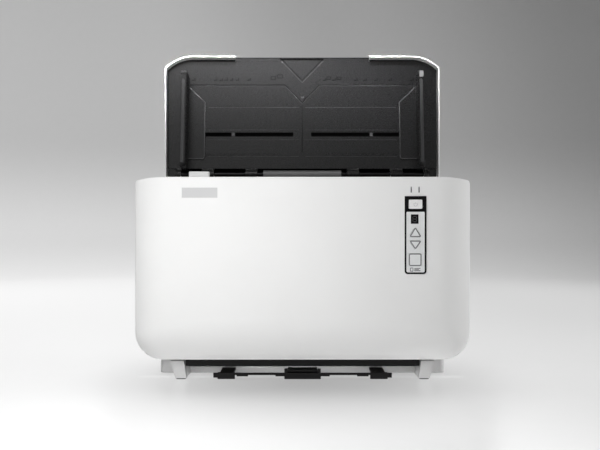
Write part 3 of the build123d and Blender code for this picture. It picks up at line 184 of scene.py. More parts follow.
def tangent_arc(start, direction, end, count):
    """Points on the arc that leaves start along direction and reaches end: its centre is square to the
    direction, as far from start as from end."""
    start, end = np.asarray(start, float), np.asarray(end, float)
    along = np.asarray(direction, float) / np.linalg.norm(direction)
    across = np.array([-along[1], along[0]])
    chord = end - start
    radius = chord @ chord / (2 * chord @ across)
    centre = start + across * radius
    turn = 2 * np.arctan2(chord @ across, chord @ along)
    angles = np.linspace(0.0, turn, count)[:, None]
    return centre - across * radius * np.cos(angles) + along * radius * np.sin(angles)


def bend(start, control, end, count):
    """Points on the curve (1-s)^2 A + 2s(1-s) C + s^2 B, from start A to end B and drawn towards C."""
    s = np.linspace(0, 1, count)[:, None]
    return (1 - s) ** 2 * start + 2 * s * (1 - s) * control + s ** 2 * end


def sideways(path, closed):
    """Steps to the left of a line at each of its points, longer at a corner, so that lines moved by them
    stay parallel: the sum of the two directions turned left, over one plus their product."""
    if closed:
        before, after = np.roll(path, 1, axis=0), np.roll(path, -1, axis=0)
    else:
        before = np.concatenate([2 * path[:1] - path[1:2], path[:-1]])
        after = np.concatenate([path[1:], 2 * path[-1:] - path[-2:-1]])
    first = (path - before) / np.linalg.norm(path - before, axis=1, keepdims=True)
    second = (after - path) / np.linalg.norm(after - path, axis=1, keepdims=True)
    left = np.stack([-(first + second)[:, 1], (first + second)[:, 0]], axis=1)
    return left / (1 + np.sum(first * second, axis=1, keepdims=True))


def layers(flat, heights):
    """Rows of (a, b) points, each row at its own height."""
    heights = np.broadcast_to(np.asarray(heights, float)[:, None, None], flat.shape[:2] + (1,))
    return np.concatenate([flat, heights], axis=2)


def outline_slab(outline, profile):
    """A plate from a closed outline of (a, b) points that turns left: each (inset, height) of the profile
    draws the outline in by inset and lays it at that height, and flat faces close both ends."""
    outline = np.asarray(outline, float)
    inset, height = np.asarray(profile, float).T
    flat = outline[None] + sideways(outline, True)[None] * inset[:, None, None]
    return lattice(layers(flat, height), wrap_v=True, caps=True)


def ring_slab(outer, inner, back, front, soft):
    """A frame between two outlines with as many points: up the outer side, over its softened edges and
    down the inner side."""
    top = front + soft * np.sign(back - front)
    rows = np.stack([outer, outer, outer + sideways(outer, True) * soft,
                     inner - sideways(inner, True) * soft, inner, inner])
    return lattice(layers(rows, [back, top, front, front, top, back]), wrap_u=True, wrap_v=True)


def laid_bar(path, wide, low, high, crown=0.0, closed=False):
    """A bar laid along a line of (a, b) points from one height to another: its section, with its upper
    corners cut by the crown, is carried along the line square to it."""
    path = np.asarray(path, float)
    half, top = wide / 2, high - crown * np.sign(high - low)
    section = np.array([[-half, low], [half, low], [half, top], [half - crown, high],
                        [crown - half, high], [-half, top]])
    rows = layers(path[None] + sideways(path, closed)[None] * section[:, None, :1], section[:, 1])
    return lattice(np.swapaxes(rows, 0, 1), wrap_u=closed, wrap_v=True, caps=not closed)


def eased(corners, radius, arc=5):
    """An outline whose corners are eased: each becomes the curve of bend between the points that lie
    radius before and after it."""
    corners = np.asarray(corners, float)
    ends = []
    for neighbour in (1, -1):
        way = np.roll(corners, neighbour, axis=0) - corners
        ends.append(corners + way / np.linalg.norm(way, axis=1, keepdims=True) * radius)
    return bend(ends[0][:, None], corners[:, None], ends[1][:, None], arc).reshape(-1, 2)


def rounded_outline(a, b, radius, arc=6):
    """The outline of a rectangle between two spans, turning left from its lower right corner, with
    quarter circles at its corners; radius is one number or one for each corner."""
    radii = np.broadcast_to(np.asarray(radius, float), 4)[:, None]
    corners = np.array([[a[1], b[0]], [a[1], b[1]], [a[0], b[1]], [a[0], b[0]]])
    centres = corners + np.array([[-1, 1], [-1, -1], [1, -1], [1, 1]]) * radii
    turn = np.array([-1, 0, 1, 2])[:, None] * np.pi / 2 + np.linspace(0, np.pi / 2, arc)
    arcs = np.stack([np.cos(turn), np.sin(turn)], axis=2) * radii[:, None]
    return (centres[:, None] + arcs).reshape(-1, 2)


def slab(a, b, heights, radius=0.3, soft=0.15):
    """A plate between two spans, with rounded corners and a softened upper edge."""
    low, high = heights
    top = high - soft * np.sign(high - low)
    return outline_slab(rounded_outline(a, b, radius), [(0, low), (0, top), (soft, high)])


TOOTH_STEEPNESS = 2.2


def tooth_wave(turn, depth):
    """Nothing on a tooth and depth between teeth, by a clipped cosine of the turn."""
    return depth * (0.5 - 0.5 * np.clip(TOOTH_STEEPNESS * np.cos(turn), -1, 1))


def turned(profile, count=64, teeth=0, depth=0.0):
    """A ring turned about the x axis from a closed profile of (x, radius, share) rows: the radius drops
    by that share of the tooth wave."""
    x, radius, share = np.asarray(profile, float).T
    turn = np.linspace(0, 2 * np.pi, count + 1)[None, :-1]
    r = radius[:, None] - share[:, None] * tooth_wave(teeth * turn, depth)
    points = np.stack([np.broadcast_to(x[:, None], r.shape), r * np.cos(turn), r * np.sin(turn)], axis=2)
    return lattice(points, wrap_u=True, wrap_v=True)


def soft_ring(span, bore, radius, soft, count=64, teeth=0, depth=0.0):
    """A ring between two x with softened rims, turned with grooves along it where it has teeth."""
    low, high = span
    return turned([(low, bore, 0), (low, radius - soft, 0), (low + soft, radius, 1),
                   (high - soft, radius, 1), (high, radius - soft, 0), (high, bore, 0)], count, teeth, depth)


def turned_bar(x, radius, chamfer=0.3, count=48):
    """A round bar between two x, with chamfered ends."""
    turn = np.linspace(0, 2 * np.pi, count + 1)[None, :-1]
    along = np.array([x[0], x[0] + chamfer, x[1] - chamfer, x[1]])[:, None]
    r = np.array([radius - chamfer, radius, radius, radius - chamfer])[:, None]
    spots = np.broadcast_arrays(along, r * np.cos(turn), r * np.sin(turn))
    return lattice(np.stack(spots, axis=2), wrap_v=True, caps=True)


# Finishes

FINISH_END = "_finish"
FINISHES = {}
EDGE_LOOK = 0.25
PATTERN_MIDDLE = (0.3, 0.7)

# Nodes whose finish is not the plain one of their slot
OWN_FINISHES = {
    "tray_hinge_rod": "black_steel",
    "hinge_barrel": "barrel_grey",
    "base_housing": "base_grey",
    # The guard bar, output tray and paper stop sit low under the shell: their black is darker and duller
    # than the tray's, as painted shade
    "exit_guard_bar": "deep_black",
    "output_tray": "deep_black",
    "paper_stop": "deep_black",
    "release_button": "body_grey",
}


def scaled(colour, factor):
    """A colour made lighter or darker by a factor, at most white."""
    return tuple(min(1.0, channel * factor) for channel in colour)


class Finish:
    """A procedural material: its nodes, its shader and the piece's own coordinates."""

    def __init__(self, name):
        self.material = bpy.data.materials.new(name + FINISH_END)
        self.material.use_nodes = True
        self.nodes = self.material.node_tree.nodes
        self.shader = self.nodes["Principled BSDF"]
        self.coords = self.node("TexCoord", "Object")

    def feed(self, node, inputs):
        """Link outputs to a node's inputs, and set plain values on theirs."""
        for key, value in inputs.items():
            if isinstance(value, bpy.types.NodeSocket):
                self.material.node_tree.links.new(value, node.inputs[key])
            else:
                node.inputs[key].default_value = value

    def node(self, kind, output, inputs=None, **settings):
        """One output of a new node with these settings and inputs."""
        node = self.nodes.new("ShaderNode" + kind)
        for key, value in settings.items():
            setattr(node, key, value)
        self.feed(node, inputs or {})
        return node.outputs[output]

    def noise(self, scale, detail=2.0, stretch=(1, 1, 1)):
        """Noise at so many waves a metre, stretched along an axis where a factor is under 1."""
        mapped = self.node("Mapping", "Vector", {"Vector": self.coords, "Scale": stretch})
        return self.node("TexNoise", "Fac", {"Vector": mapped, "Scale": scale, "Detail": detail})

    def span(self, value, start, end, low=0.0, high=1.0):
        """The range from start to end of a value, mapped onto low to high."""
        return self.node("MapRange", "Result", {"Value": value, "From Min": start, "From Max": end,
                                                "To Min": low, "To Max": high})

    def spread(self, pattern, low=0.0, high=1.0):
        """The middle range of a pattern, mapped onto low to high."""
        return self.span(pattern, *PATTERN_MIDDLE, low, high)

    def mixed(self, factor, first, second, blend="MIX"):
        """Two colours blended by a factor."""
        return self.node("Mix", "Result", {"Factor": factor, "A": first, "B": second},
                         data_type="RGBA", blend_type=blend)

    def tinted(self, pattern, dark, light):
        """A colour between two colours, by a pattern."""
        return self.mixed(self.spread(pattern), (*dark, 1.0), (*light, 1.0))

    def done(self, relief, depth, inputs):
        """Feed the shader, with a relief of so many millimetres over edges that look rounded."""
        soft = self.node("Bevel", "Normal", {"Radius": EDGE_LOOK * MM}, samples=4)
        bump = self.node("Bump", "Normal", {"Distance": depth * MM, "Normal": soft, "Height": relief})
        self.feed(self.shader, {"Normal": bump, **inputs})
        return self.material


def moulded(name, colour, roughness, grain, grain_depth, mottle, gloss=0.5):
    """Injection-moulded plastic: a fine even grain, a faint cloudiness and a little uneven gloss."""
    made = Finish(name)
    cloud, fine = made.noise(14.0, 3.0), made.noise(grain)
    return made.done(fine, grain_depth, {
        "Base Color": made.tinted(cloud, scaled(colour, 1 - mottle), scaled(colour, 1 + mottle)),
        "Roughness": made.spread(fine, roughness * 0.92, roughness * 1.08),
        "Specular IOR Level": gloss,
    })


def brushed(name, colour, roughness, stretch=(0.02, 1, 1), scale=1400.0):
    """Drawn metal: long fine lines along one direction in tone, gloss and relief."""
    made = Finish(name)
    lines = made.noise(scale, 4.0, stretch)
    return made.done(lines, 0.004, {
        "Base Color": made.tinted(lines, scaled(colour, 0.85), scaled(colour, 1.12)),
        "Roughness": made.spread(lines, roughness * 0.7, roughness * 1.3),
        "Metallic": 1.0,
    })


def rubber(name, colour, dust):
    """Ground rubber: a matt, pitted face with paler paper dust in patches."""
    made = Finish(name)
    patches, pits = made.noise(90.0, 5.0), made.noise(2600.0, 3.0)
    return made.done(pits, 0.06, {
        "Base Color": made.tinted(patches, colour, dust),
        "Roughness": made.spread(pits, 0.7, 0.9),
        "Specular IOR Level": 0.3,
    })


def glass(name, tint, clear, roughness):
    """Glass or clear plastic: see-through in part, with a faint uneven smear in its gloss."""
    made = Finish(name)
    smear = made.noise(60.0, 3.0, (0.3, 1, 1))
    return made.done(smear, 0.002, {
        "Base Color": made.tinted(smear, tint, scaled(tint, 1.15)),
        "Roughness": made.spread(smear, roughness * 0.6, roughness * 1.4),
        "Transmission Weight": clear,
        "IOR": 1.5,
    })


def solder_mask(name, colour, trace):
    """A green circuit board: brick-laid copper traces showing through a glossy mask, and brass-coloured
    solder points."""
    made = Finish(name)
    upright = made.node("Mapping", "Vector", {"Vector": made.coords, "Rotation": (np.pi / 2, 0, 0)})
    bricks = made.node("TexBrick", "Color", {
        "Vector": upright, "Scale": 130.0, "Mortar Size": 0.035, "Brick Width": 1.7, "Row Height": 0.3,
        "Color1": (*colour, 1.0), "Color2": (*scaled(colour, 1.25), 1.0), "Mortar": (*trace, 1.0)})
    dots = made.node("TexVoronoi", "Distance", {"Vector": made.coords, "Scale": 190.0})
    return made.done(bricks.node.outputs["Fac"], 0.03, {
        "Base Color": made.mixed(made.span(dots, 0.1, 0.13), (0.35, 0.3, 0.12, 1.0), bricks),
        "Roughness": made.spread(made.noise(120.0), 0.22, 0.34),
    })


def make_finishes(colours):
    """Every finish by its name. A moulded one has its colour, roughness, waves of grain a metre, depth of
    grain in millimetres, cloudiness and at times its gloss."""
    shell, body, tray = colours.shell[:], colours.body[:], colours.tray[:]
    made = [moulded(*row) for row in (
        ("white_shell", shell, 0.4, 2200.0, 0.012, 0.01),
        ("body_grey", body, 0.5, 1900.0, 0.02, 0.015),
        ("base_grey", scaled(body, 0.85), 0.5, 1900.0, 0.02, 0.015),
        ("barrel_grey", (0.2, 0.2, 0.2), 0.42, 1900.0, 0.015, 0.02),
        ("plate_grey", (0.6, 0.6, 0.605), 0.3, 900.0, 0.004, 0.015),
        ("tray_black", tray, 0.27, 1500.0, 0.02, 0.08, 0.6),
        # a dark matt line for the panel's seam, also used as painted shade along the notch's edges
        ("tray_seam", (0.004, 0.004, 0.004), 0.6, 1500.0, 0.01, 0.1, 0.2),
        ("tray_mark", (0.0015, 0.0015, 0.0015), 0.6, 1500.0, 0.01, 0.1, 0.1),
        # painted highlight: a lighter black for bars and trims that stand for lit edges
        ("tray_edge", (0.065, 0.065, 0.067), 0.3, 1500.0, 0.01, 0.06),
        ("tray_arrow", (0.06, 0.06, 0.062), 0.4, 1500.0, 0.01, 0.05),
        # painted highlight: a lighter black for the fences' front ribs
        ("fence_rib", (0.045, 0.045, 0.047), 0.35, 1500.0, 0.01, 0.06),
        # painted shade: a darker, duller black for the parts low under the shell
        ("deep_black", (0.003, 0.003, 0.003), 0.5, 1500.0, 0.02, 0.1, 0.3),
        ("slot_shadow", (0.001, 0.001, 0.001), 0.85, 1500.0, 0.01, 0.2, 0.05),
        ("panel_black", (0.002, 0.002, 0.0025), 0.2, 2500.0, 0.002, 0.1, 0.18),
        ("panel_light", (0.78, 0.79, 0.79), 0.36, 2500.0, 0.006, 0.01),
        ("panel_ink", (0.05, 0.05, 0.055), 0.5, 2500.0, 0.004, 0.05),
        ("key_line", (0.17, 0.17, 0.175), 0.45, 2500.0, 0.004, 0.03),
        ("key_mark", (0.5, 0.5, 0.51), 0.45, 2500.0, 0.004, 0.03),
        ("unlit_segment", (0.045, 0.046, 0.048), 0.3, 2500.0, 0.002, 0.06),
        ("light_bar", (0.75, 0.78, 0.76), 0.3, 2500.0, 0.004, 0.02),
        ("pulley_plastic", (0.75, 0.73, 0.66), 0.45, 2500.0, 0.006, 0.02),
        ("socket_black", (0.01, 0.01, 0.01), 0.4, 1500.0, 0.01, 0.1),
        ("chip_black", (0.012, 0.012, 0.013), 0.5, 3000.0, 0.02, 0.1),
    )]
    made += [
        glass("lens_clear", (0.12, 0.125, 0.13), 0.3, 0.3),
        glass("sensor_glass", (0.55, 0.6, 0.6), 0.85, 0.04),
        rubber("roller_rubber", (0.02, 0.021, 0.024), (0.05, 0.05, 0.052)),
        rubber("foot_rubber", (0.01, 0.01, 0.01), (0.025, 0.025, 0.025)),
        rubber("pinch_rubber", (0.16, 0.17, 0.19), (0.24, 0.25, 0.26)),
        brushed("steel", (0.58, 0.58, 0.59), 0.3),
        brushed("black_steel", (0.05, 0.05, 0.052), 0.35),
        brushed("motor_metal", (0.12, 0.12, 0.125), 0.4, (1, 0.05, 1), 900.0),
        solder_mask("board_green", (0.008, 0.075, 0.026), (0.02, 0.17, 0.06)),
    ]
    FINISHES.update({material.name.removesuffix(FINISH_END): material for material in made})


class ScannerColours(bpy.types.PropertyGroup):
    """Colours of the three main plastics."""

    shell: bpy.props.FloatVectorProperty(
        name="Shell", description="White front shell and tray rim", subtype="COLOR", size=3,
        default=(0.86, 0.86, 0.855), min=0.0, max=1.0)
    body: bpy.props.FloatVectorProperty(
        name="Body", description="Light grey covers and legs", subtype="COLOR", size=3,
        default=(0.62, 0.62, 0.62), min=0.0, max=1.0)
    tray: bpy.props.FloatVectorProperty(
        name="Tray", description="Black tray panel, guides and paper path", subtype="COLOR", size=3,
        default=(0.005, 0.005, 0.0053), min=0.0, max=1.0)


class ScannerSizes(bpy.types.PropertyGroup):
    """Sizes of the small details."""

    key_line: bpy.props.FloatProperty(
        name="Key border", description="Width of the border drawn on each key", default=1.1 * MM,
        unit="LENGTH", precision=5)
    trim_width: bpy.props.FloatProperty(
        name="Guide edge", description="Width of the raised edge on the paper guides", default=1.2 * MM,
        unit="LENGTH", precision=5)
    belt_pitch: bpy.props.FloatProperty(
        name="Belt pitch", description="Length of one tooth and gap of the belt", default=2.0 * MM,
        unit="LENGTH", precision=5)
    tyre_grooves: bpy.props.IntProperty(
        name="Tyre grooves", description="Grooves round each rubber tyre", default=36, min=8, max=120)


class StudioSettings(bpy.types.PropertyGroup):
    """The camera and the light of the studio."""

    lens: bpy.props.FloatProperty(
        name="Lens", description="Focal length of the camera", default=52.9, min=10.0, max=200.0)
    distance: bpy.props.FloatProperty(
        name="Distance", description="From the camera to the machine's centre", default=1.108,
        unit="LENGTH")
    height: bpy.props.FloatProperty(
        name="Height", description="Height of the camera above the table", default=0.182,
        unit="LENGTH")
    front_power: bpy.props.FloatProperty(
        name="Front light", description="Power of the near lamp left of the camera", default=1.35)
    top_power: bpy.props.FloatProperty(
        name="Top light", description="Power of the large lamp over the camera's left", default=1.8)
    left_power: bpy.props.FloatProperty(
        name="Left light", description="Power of the tall lamp at the left side", default=0.05)
    right_power: bpy.props.FloatProperty(
        name="Right light", description="Power of the tall lamp at the right side", default=5.6)
    low_power: bpy.props.FloatProperty(
        name="Low light", description="Power of the low lamp that stands for the bright table",
        default=0.01)
    floor_power: bpy.props.FloatProperty(
        name="Floor light", description="Power of the lamp that stands for light thrown up by the table",
        default=0.026)
    foot_power: bpy.props.FloatProperty(
        name="Foot light", description="Power of the lamp that shows the front wall of the base",
        default=0.043)
    rim_power: bpy.props.FloatProperty(
        name="Tray light", description="Power of the narrow lamp over the tray's rim", default=1.0)
    back_power: bpy.props.FloatProperty(
        name="Back lights", description="Power of the lamps behind the machine", default=8.0)
    ambient: bpy.props.FloatProperty(
        name="Ambient", description="Strength of the sky over the studio", default=0.045)


class SCANNER_OT_finishes(bpy.types.Operator):
    """Make the finishes and give every part of the frame its own"""

    bl_idname = "scanner.finishes"
    bl_label = "Finishes"

    def execute(self, context):
        make_finishes(context.scene.scanner_colours)
        for part in frame["record"]["subparts"]:
            for slot in frame["nodes"][part["node"]].material_slots:
                slot.material = FINISHES[OWN_FINISHES.get(part["node"], part["material_slot"])]
        return {"FINISHED"}


# Front shell

BODY_HALF = 193.0
SHELL_TOP, SHELL_FOOT, SHELL_DEPTH, SHELL_WALL = 236.8, 24.0, 36.0, 2.5
BOW, BOW_HALF, WRAP_DEPTH = 1.5, 155.0, 17.0
EDGE_ROUND, CORNER_ROUND, TOP_DROOP = 3.0, 4.0, 3.2
CHIN_TOP, CHIN_DEPTH, LIP_HIGH = 78.0, 34.8, 0.9
CUT_HEIGHT, CUT_HALF = 42.0, 164.0
BLEND = 3.0
DROOP_FROM, SINK_FROM, SINK_POWER = 150.0, 125.0, 1.6
BACK_GAP = 0.4
WALL_EDGE, WALL_EDGE_ANGLE = 0.3, 50.0
STOP_GAP = 0.25
BEZEL_X, BEZEL_Z, BEZEL_LAP = (115.8, 140.4), (126.3, 214.8), 1.2
LENS_X, LENS_Z, LENS_HALF = (123.3, 132.2), (218.9, 225.5), 0.65
RELEASE_X, RELEASE_T = (-130.1, -106.1), (3.6, 11.9)


def with_stops(values, stops):
    """The values with the stops put in, in order and without near doubles."""
    gaps = np.min(np.abs(values[:, None] - np.asarray(stops)[None]), axis=1)
    return np.sort(np.concatenate([values[gaps > STOP_GAP], stops]))


def shell_plan():
    """X and depth of the shell seen from above, from the middle to the side: a shallow bow, then the
    arc that turns back to the side wall."""
    bow_x = np.linspace(0.0, BOW_HALF, 48)
    bow = np.stack([bow_x, BOW * (bow_x / BOW_HALF) ** 2], axis=1)
    wrap = tangent_arc((BOW_HALF, BOW), (1, 2 * BOW / BOW_HALF), (BODY_HALF, WRAP_DEPTH), 25)
    return np.concatenate([bow, wrap[1:]])


def shell_side():
    """Depth and height of the shell seen from the side, from its lip up: the chin, the flat face with
    rows at the openings' edges, and the round upper edge."""
    lip = [(CHIN_DEPTH + 0.3, SHELL_FOOT), (CHIN_DEPTH, SHELL_FOOT + 0.25)]
    chin = tangent_arc((0.0, CHIN_TOP), (0, -1), (CHIN_DEPTH, SHELL_FOOT + LIP_HIGH), 25)[::-1]
    face_z = with_stops(np.linspace(CHIN_TOP, SHELL_TOP - EDGE_ROUND, 40)[1:-1],
                        [*LENS_Z, *wider(BEZEL_Z, -BEZEL_LAP)])
    edge = tangent_arc((0.0, SHELL_TOP - EDGE_ROUND), (0, 1), (EDGE_ROUND, SHELL_TOP), 9)
    return np.concatenate([lip, chin, np.stack([0 * face_z, face_z], axis=1), edge]).T


def to_back(depth, share):
    """Depths led on to the shell's back edge: each one plus a share of what is left to that edge."""
    return depth + (SHELL_DEPTH - depth) * share


def shell_surface():
    """The shell's outside as one grid. Columns run round from side wall to side wall and rows from the
    lip up to the ledge. Depth is the two profiles' depths joined by a soft maximum, the cube root of the
    sum of their cubes, and heights near the ends are drawn in to the outline seen from the front."""
    plan = shell_plan()
    lenses = [wider((middle, middle), LENS_HALF) for middle in LENS_X]
    bezel = wider(BEZEL_X, -BEZEL_LAP)
    x_right = with_stops(plan[:, 0], [*lenses[0], *lenses[1], *bezel, *(-x for x in RELEASE_X)])
    x_front = np.concatenate([-x_right[:0:-1], x_right])
    depth_side, z_side = shell_side()

    shares = [(t - EDGE_ROUND) / (SHELL_DEPTH - EDGE_ROUND) for t in RELEASE_T]
    steps = np.concatenate([[shares[0], sum(shares) / 2], np.linspace(shares[1], 1.0, 7)])
    wall = np.full(len(steps), BODY_HALF)
    x = np.concatenate([-wall, x_front, wall])

    corner_z = SHELL_TOP - TOP_DROOP
    droop = tangent_arc((BOW_HALF, SHELL_TOP), (1, 0), (BODY_HALF - CORNER_ROUND, corner_z), 12)
    shoulder = tangent_arc(droop[-1], (1, 0), (BODY_HALF, corner_z - CORNER_ROUND), 8)
    cut = tangent_arc((CUT_HALF, SHELL_FOOT), (1, 0), (BODY_HALF, CUT_HEIGHT), 16)
    from_top = np.interp(np.abs(x), *np.concatenate([droop, shoulder]).T) - SHELL_TOP
    from_foot = np.interp(np.abs(x), *cut.T) - SHELL_FOOT
    rise = np.clip((z_side - DROOP_FROM) / (SHELL_TOP - EDGE_ROUND - DROOP_FROM), 0, 1) ** 2
    sink = np.clip((SINK_FROM - z_side) / (SINK_FROM - SHELL_FOOT), 0, 1) ** SINK_POWER
    z = z_side[:, None] + rise[:, None] * from_top + sink[:, None] * from_foot

    depth_plan = np.interp(np.abs(x_front), *plan.T)
    depth = (depth_plan ** BLEND + depth_side[:, None] ** BLEND) ** (1 / BLEND)
    depth = np.minimum(depth, SHELL_DEPTH - BACK_GAP)
    depth = np.hstack([to_back(depth[:, :1], steps[::-1]), depth, to_back(depth[:, -1:], steps)])
    depth = np.vstack([np.full(len(x), SHELL_DEPTH), depth, to_back(depth[-1], steps[:, None])])
    z = np.concatenate([z[:1], z, np.repeat(z[-1:], len(steps), axis=0)])
    points = np.stack([np.broadcast_to(x, z.shape), depth, z], axis=-1)

    def inside(values, span):
        """True for each value between the ends of a span."""
        return (values > span[0]) & (values < span[1])

    column = (x[:-1] + x[1:]) / 2
    row_t, row_z = (points[:-1] + points[1:])[:, len(x) // 2, 1:].T / 2
    rows, columns = np.arange(len(row_z)), np.arange(len(column))
    on_ledge = rows >= len(rows) - len(steps)
    on_wall = np.minimum(columns, columns[::-1]) < len(steps)
    openings = [((rows == 0) | on_ledge, on_wall),
                (inside(row_z, wider(BEZEL_Z, -BEZEL_LAP)), inside(column, bezel)),
                (on_ledge & inside(row_t, RELEASE_T), inside(column, RELEASE_X))]
    openings += [(inside(row_z, LENS_Z), inside(column, lens)) for lens in lenses]
    keep = np.ones((len(rows), len(column)), bool)
    for in_row, in_column in openings:
        keep &= ~(in_row[:, None] & in_column)
    return lattice(points, keep=keep)


class SCANNER_OT_front_shell(bpy.types.Operator):
    """The white front shell: bowed face, turned sides and chin, with its panel, lens and button openings"""

    bl_idname = "scanner.front_shell"
    bl_label = "Front shell"

    def execute(self, context):
        shell = make_piece("front_shell_moulding", shell_surface(), front_place, "white_shell",
                           "front_cover", replaces=["front_shell"], smooth=60)
        wall = shell.modifiers.new("wall", "SOLIDIFY")
        wall.thickness = SHELL_WALL * MM
        wall.offset = -1.0
        rounding = shell.modifiers.new("rounded edges", "BEVEL")
        rounding.width = WALL_EDGE * MM
        rounding.segments = 2
        rounding.limit_method = "ANGLE"
        rounding.angle_limit = np.radians(WALL_EDGE_ANGLE)
        rounding.use_clamp_overlap = True
        rounding.harden_normals = True
        return {"FINISHED"}


# Control panel

PLATE_X, PLATE_Z, PLATE_FACE = (117.2, 139.0), (127.7, 197.5), 0.2
BEZEL_BACK, BEZEL_FACE, WAIST = 4.6, 0.05, 199.2
POWER_X, POWER_Z, POWER_FACE = (120.5, 135.6), (200.4, 210.7), -0.8
SCAN_X, SCAN_Z, KEY_FACE = (120.5, 134.8), (135.5, 149.6), -0.1
ARROW_MIDDLE, ARROW_HALF, ARROW_SLOPE = 127.9, 7.1, 1.9
UP_ARROW, DOWN_ARROW = (168.3, 179.8), (164.3, 154.0)
DIGIT_MIDDLE, DIGIT_HALF, WINDOW_FACE = (127.15, 188.75), (2.1, 3.1), 0.35
SCAN_MARK, PRINT_HIGH = (122.2, 129.6), 0.04


def bezel_frame():
    """Three frames: one round the light plate, with wide lower corners, one round the power key that
    shares its upper edge, and a border on the plate."""
    plate = rounded_outline(PLATE_X, PLATE_Z, (2.2, 1.6, 1.6, 2.2))
    key = rounded_outline(wider(POWER_X, 0.35), wider(POWER_Z, 0.35), 1.6)
    inner = rounded_outline(wider(PLATE_X, -0.55), wider(PLATE_Z, -0.55), (1.8, 1.2, 1.2, 1.8))
    lower = rounded_outline(BEZEL_X, (BEZEL_Z[0], WAIST), (3.2, 0.05, 0.05, 3.2))
    upper = rounded_outline(BEZEL_X, (WAIST, BEZEL_Z[1]), (0.05, 0.4, 0.4, 0.05))
    return joined([ring_slab(lower, plate, BEZEL_BACK, BEZEL_FACE, 0.15),
                   ring_slab(upper, key, BEZEL_BACK, BEZEL_FACE, 0.15),
                   ring_slab(plate, inner, PLATE_FACE, BEZEL_FACE, 0.1)])


def arrow_outline(base, tip, inset):
    """A triangle round the arrow key's middle, turning left, drawn in by inset along its height."""
    side = np.sign(tip - base)
    half = ARROW_HALF - ARROW_SLOPE * inset
    base, tip = base + side * inset, tip - ARROW_SLOPE * side * inset
    corners = [(ARROW_MIDDLE - side * half, base), (ARROW_MIDDLE + side * half, base), (ARROW_MIDDLE, tip)]
    return eased(corners, 1.1)


def digit_segments():
    """The seven unlit bars of a digit, each a long hexagon: three level ones and four upright ones."""
    half_wide, half_high = DIGIT_HALF
    wide, gap = 0.42, 0.25
    bars = [((0, b * half_high), half_wide - gap, (1, 0)) for b in (1, 0, -1)]
    bars += [((a * half_wide, b * half_high / 2), half_high / 2 - gap, (0, 1))
             for a in (-1, 1) for b in (-1, 1)]
    outlines = []
    for place, half, along in bars:
        ends = np.array([(-half, 0), (wide - half, -wide), (half - wide, -wide), (half, 0),
                         (half - wide, wide), (wide - half, wide)])
        across = (-along[1], along[0])
        outlines.append(np.array(DIGIT_MIDDLE) + place + ends @ np.array([along, across]))
    return joined([outline_slab(line, [(0, WINDOW_FACE), (0, WINDOW_FACE - 0.03)]) for line in outlines])


def sheet_mark(x, z):
    """A small sheet of paper beside a row of lines, a generic mark for scanning."""
    printed = (PLATE_FACE, PLATE_FACE - PRINT_HIGH)
    sheet = laid_bar(rounded_outline((x, x + 3.0), (z, z + 3.6), 0.4), 0.7, *printed, closed=True)
    lines = [laid_bar([(x + 4.4, z + up), (x + long, z + up)], 0.75, *printed)
             for up, long in ((0.5, 11.4), (1.8, 9.6), (3.1, 11.4))]
    return joined([sheet, *lines])


def standby_mark(x, z):
    """The common standby sign: an open circle with a short bar in its gap."""
    printed = (POWER_FACE, POWER_FACE - PRINT_HIGH)
    turn = np.linspace(np.radians(125), np.radians(415), 28)
    arc = np.stack([x + 2.0 * np.cos(turn), z + 2.0 * np.sin(turn)], axis=1)
    return joined([laid_bar(arc, 0.45, *printed), laid_bar([(x, z + 0.4), (x, z + 2.6)], 0.45, *printed)])


class SCANNER_OT_control_panel(bpy.types.Operator):
    """The control panel: black frame, key borders, unlit digit and generic marks"""

    bl_idname = "scanner.control_panel"
    bl_label = "Control panel"

    def execute(self, context):
        make_piece("panel_frame", bezel_frame(), face_place, "panel_black", "front_cover",
                   replaces=["panel_bezel"])
        make_piece("display_segments", digit_segments(), face_place, "panel_black", "front_cover",
                   "unlit_segment")
        make_piece("scan_key_mark", sheet_mark(*SCAN_MARK), face_place, "panel_light", "front_cover",
                   "panel_ink")
        power = standby_mark(sum(POWER_X) / 2, sum(POWER_Z) / 2 - 0.2)
        make_piece("power_key_mark", power, face_place, "white_shell", "power_button", "key_mark")
        line = context.scene.scanner_sizes.key_line / MM
        inset = line / 2 + 0.1
        borders = {
            "scan_button": rounded_outline(wider(SCAN_X, -inset), wider(SCAN_Z, -inset), 1.3),
            "up_button": arrow_outline(*UP_ARROW, inset),
            "down_button": arrow_outline(*DOWN_ARROW, inset),
        }
        for key, outline in borders.items():
            border = laid_bar(outline, line, KEY_FACE, KEY_FACE - 0.06, 0.05, closed=True)
            make_piece(key + "_border", border, face_place, "panel_light", key, "key_line")
        return {"FINISHED"}


# Input tray

PANEL_FACE = 5.0
PANEL_LIFT = (PANEL_FACE, PANEL_FACE + 0.06)
INNER_SHADE_SHEET = ((-176.0, 176.0), (-6.3, 140.0), (-7.5, -7.25))
NOTCH_TIP, NOTCH_SLOPE, NOTCH_BEVEL, NOTCH_RISE = 128.5, 0.937, 2.2, 30.0
LIP_HALF, LIP_UP, LIP_OUT = 90.6, (154.5, 160.0), 5.7
EXTENSION_HALF, EXTENSION_FOOT, EXTENSION_OUT = 90.2, 44.0, (0.3, 2.7)
SLOT_SPANS, SLOT_UP, SLOT_FLOOR = ((12.0, 90.0), (95.0, 152.0)), (50.8, 55.5), 3.6
SLOT_STEP = 92.5
V_LINE = ((-151.5, 121.5), (-23.2, 121.5), (0.0, 96.8), (23.2, 121.5), (151.5, 121.5))
V_LINE_FLOOR = 4.5
SEAM = ((0, 28.8), (0, 94.8))
FINE_LINES, FINE_LINE_X = (90.6, 59.3, 45.8, 23.2), (4.0, 126.0)
LINE_FOOT = PANEL_FACE - 0.05
GUIDE_SLOT_X, GUIDE_SLOT_LIPS = (31.0, 154.0), ((24.05, 25.2), (25.35, 26.55))
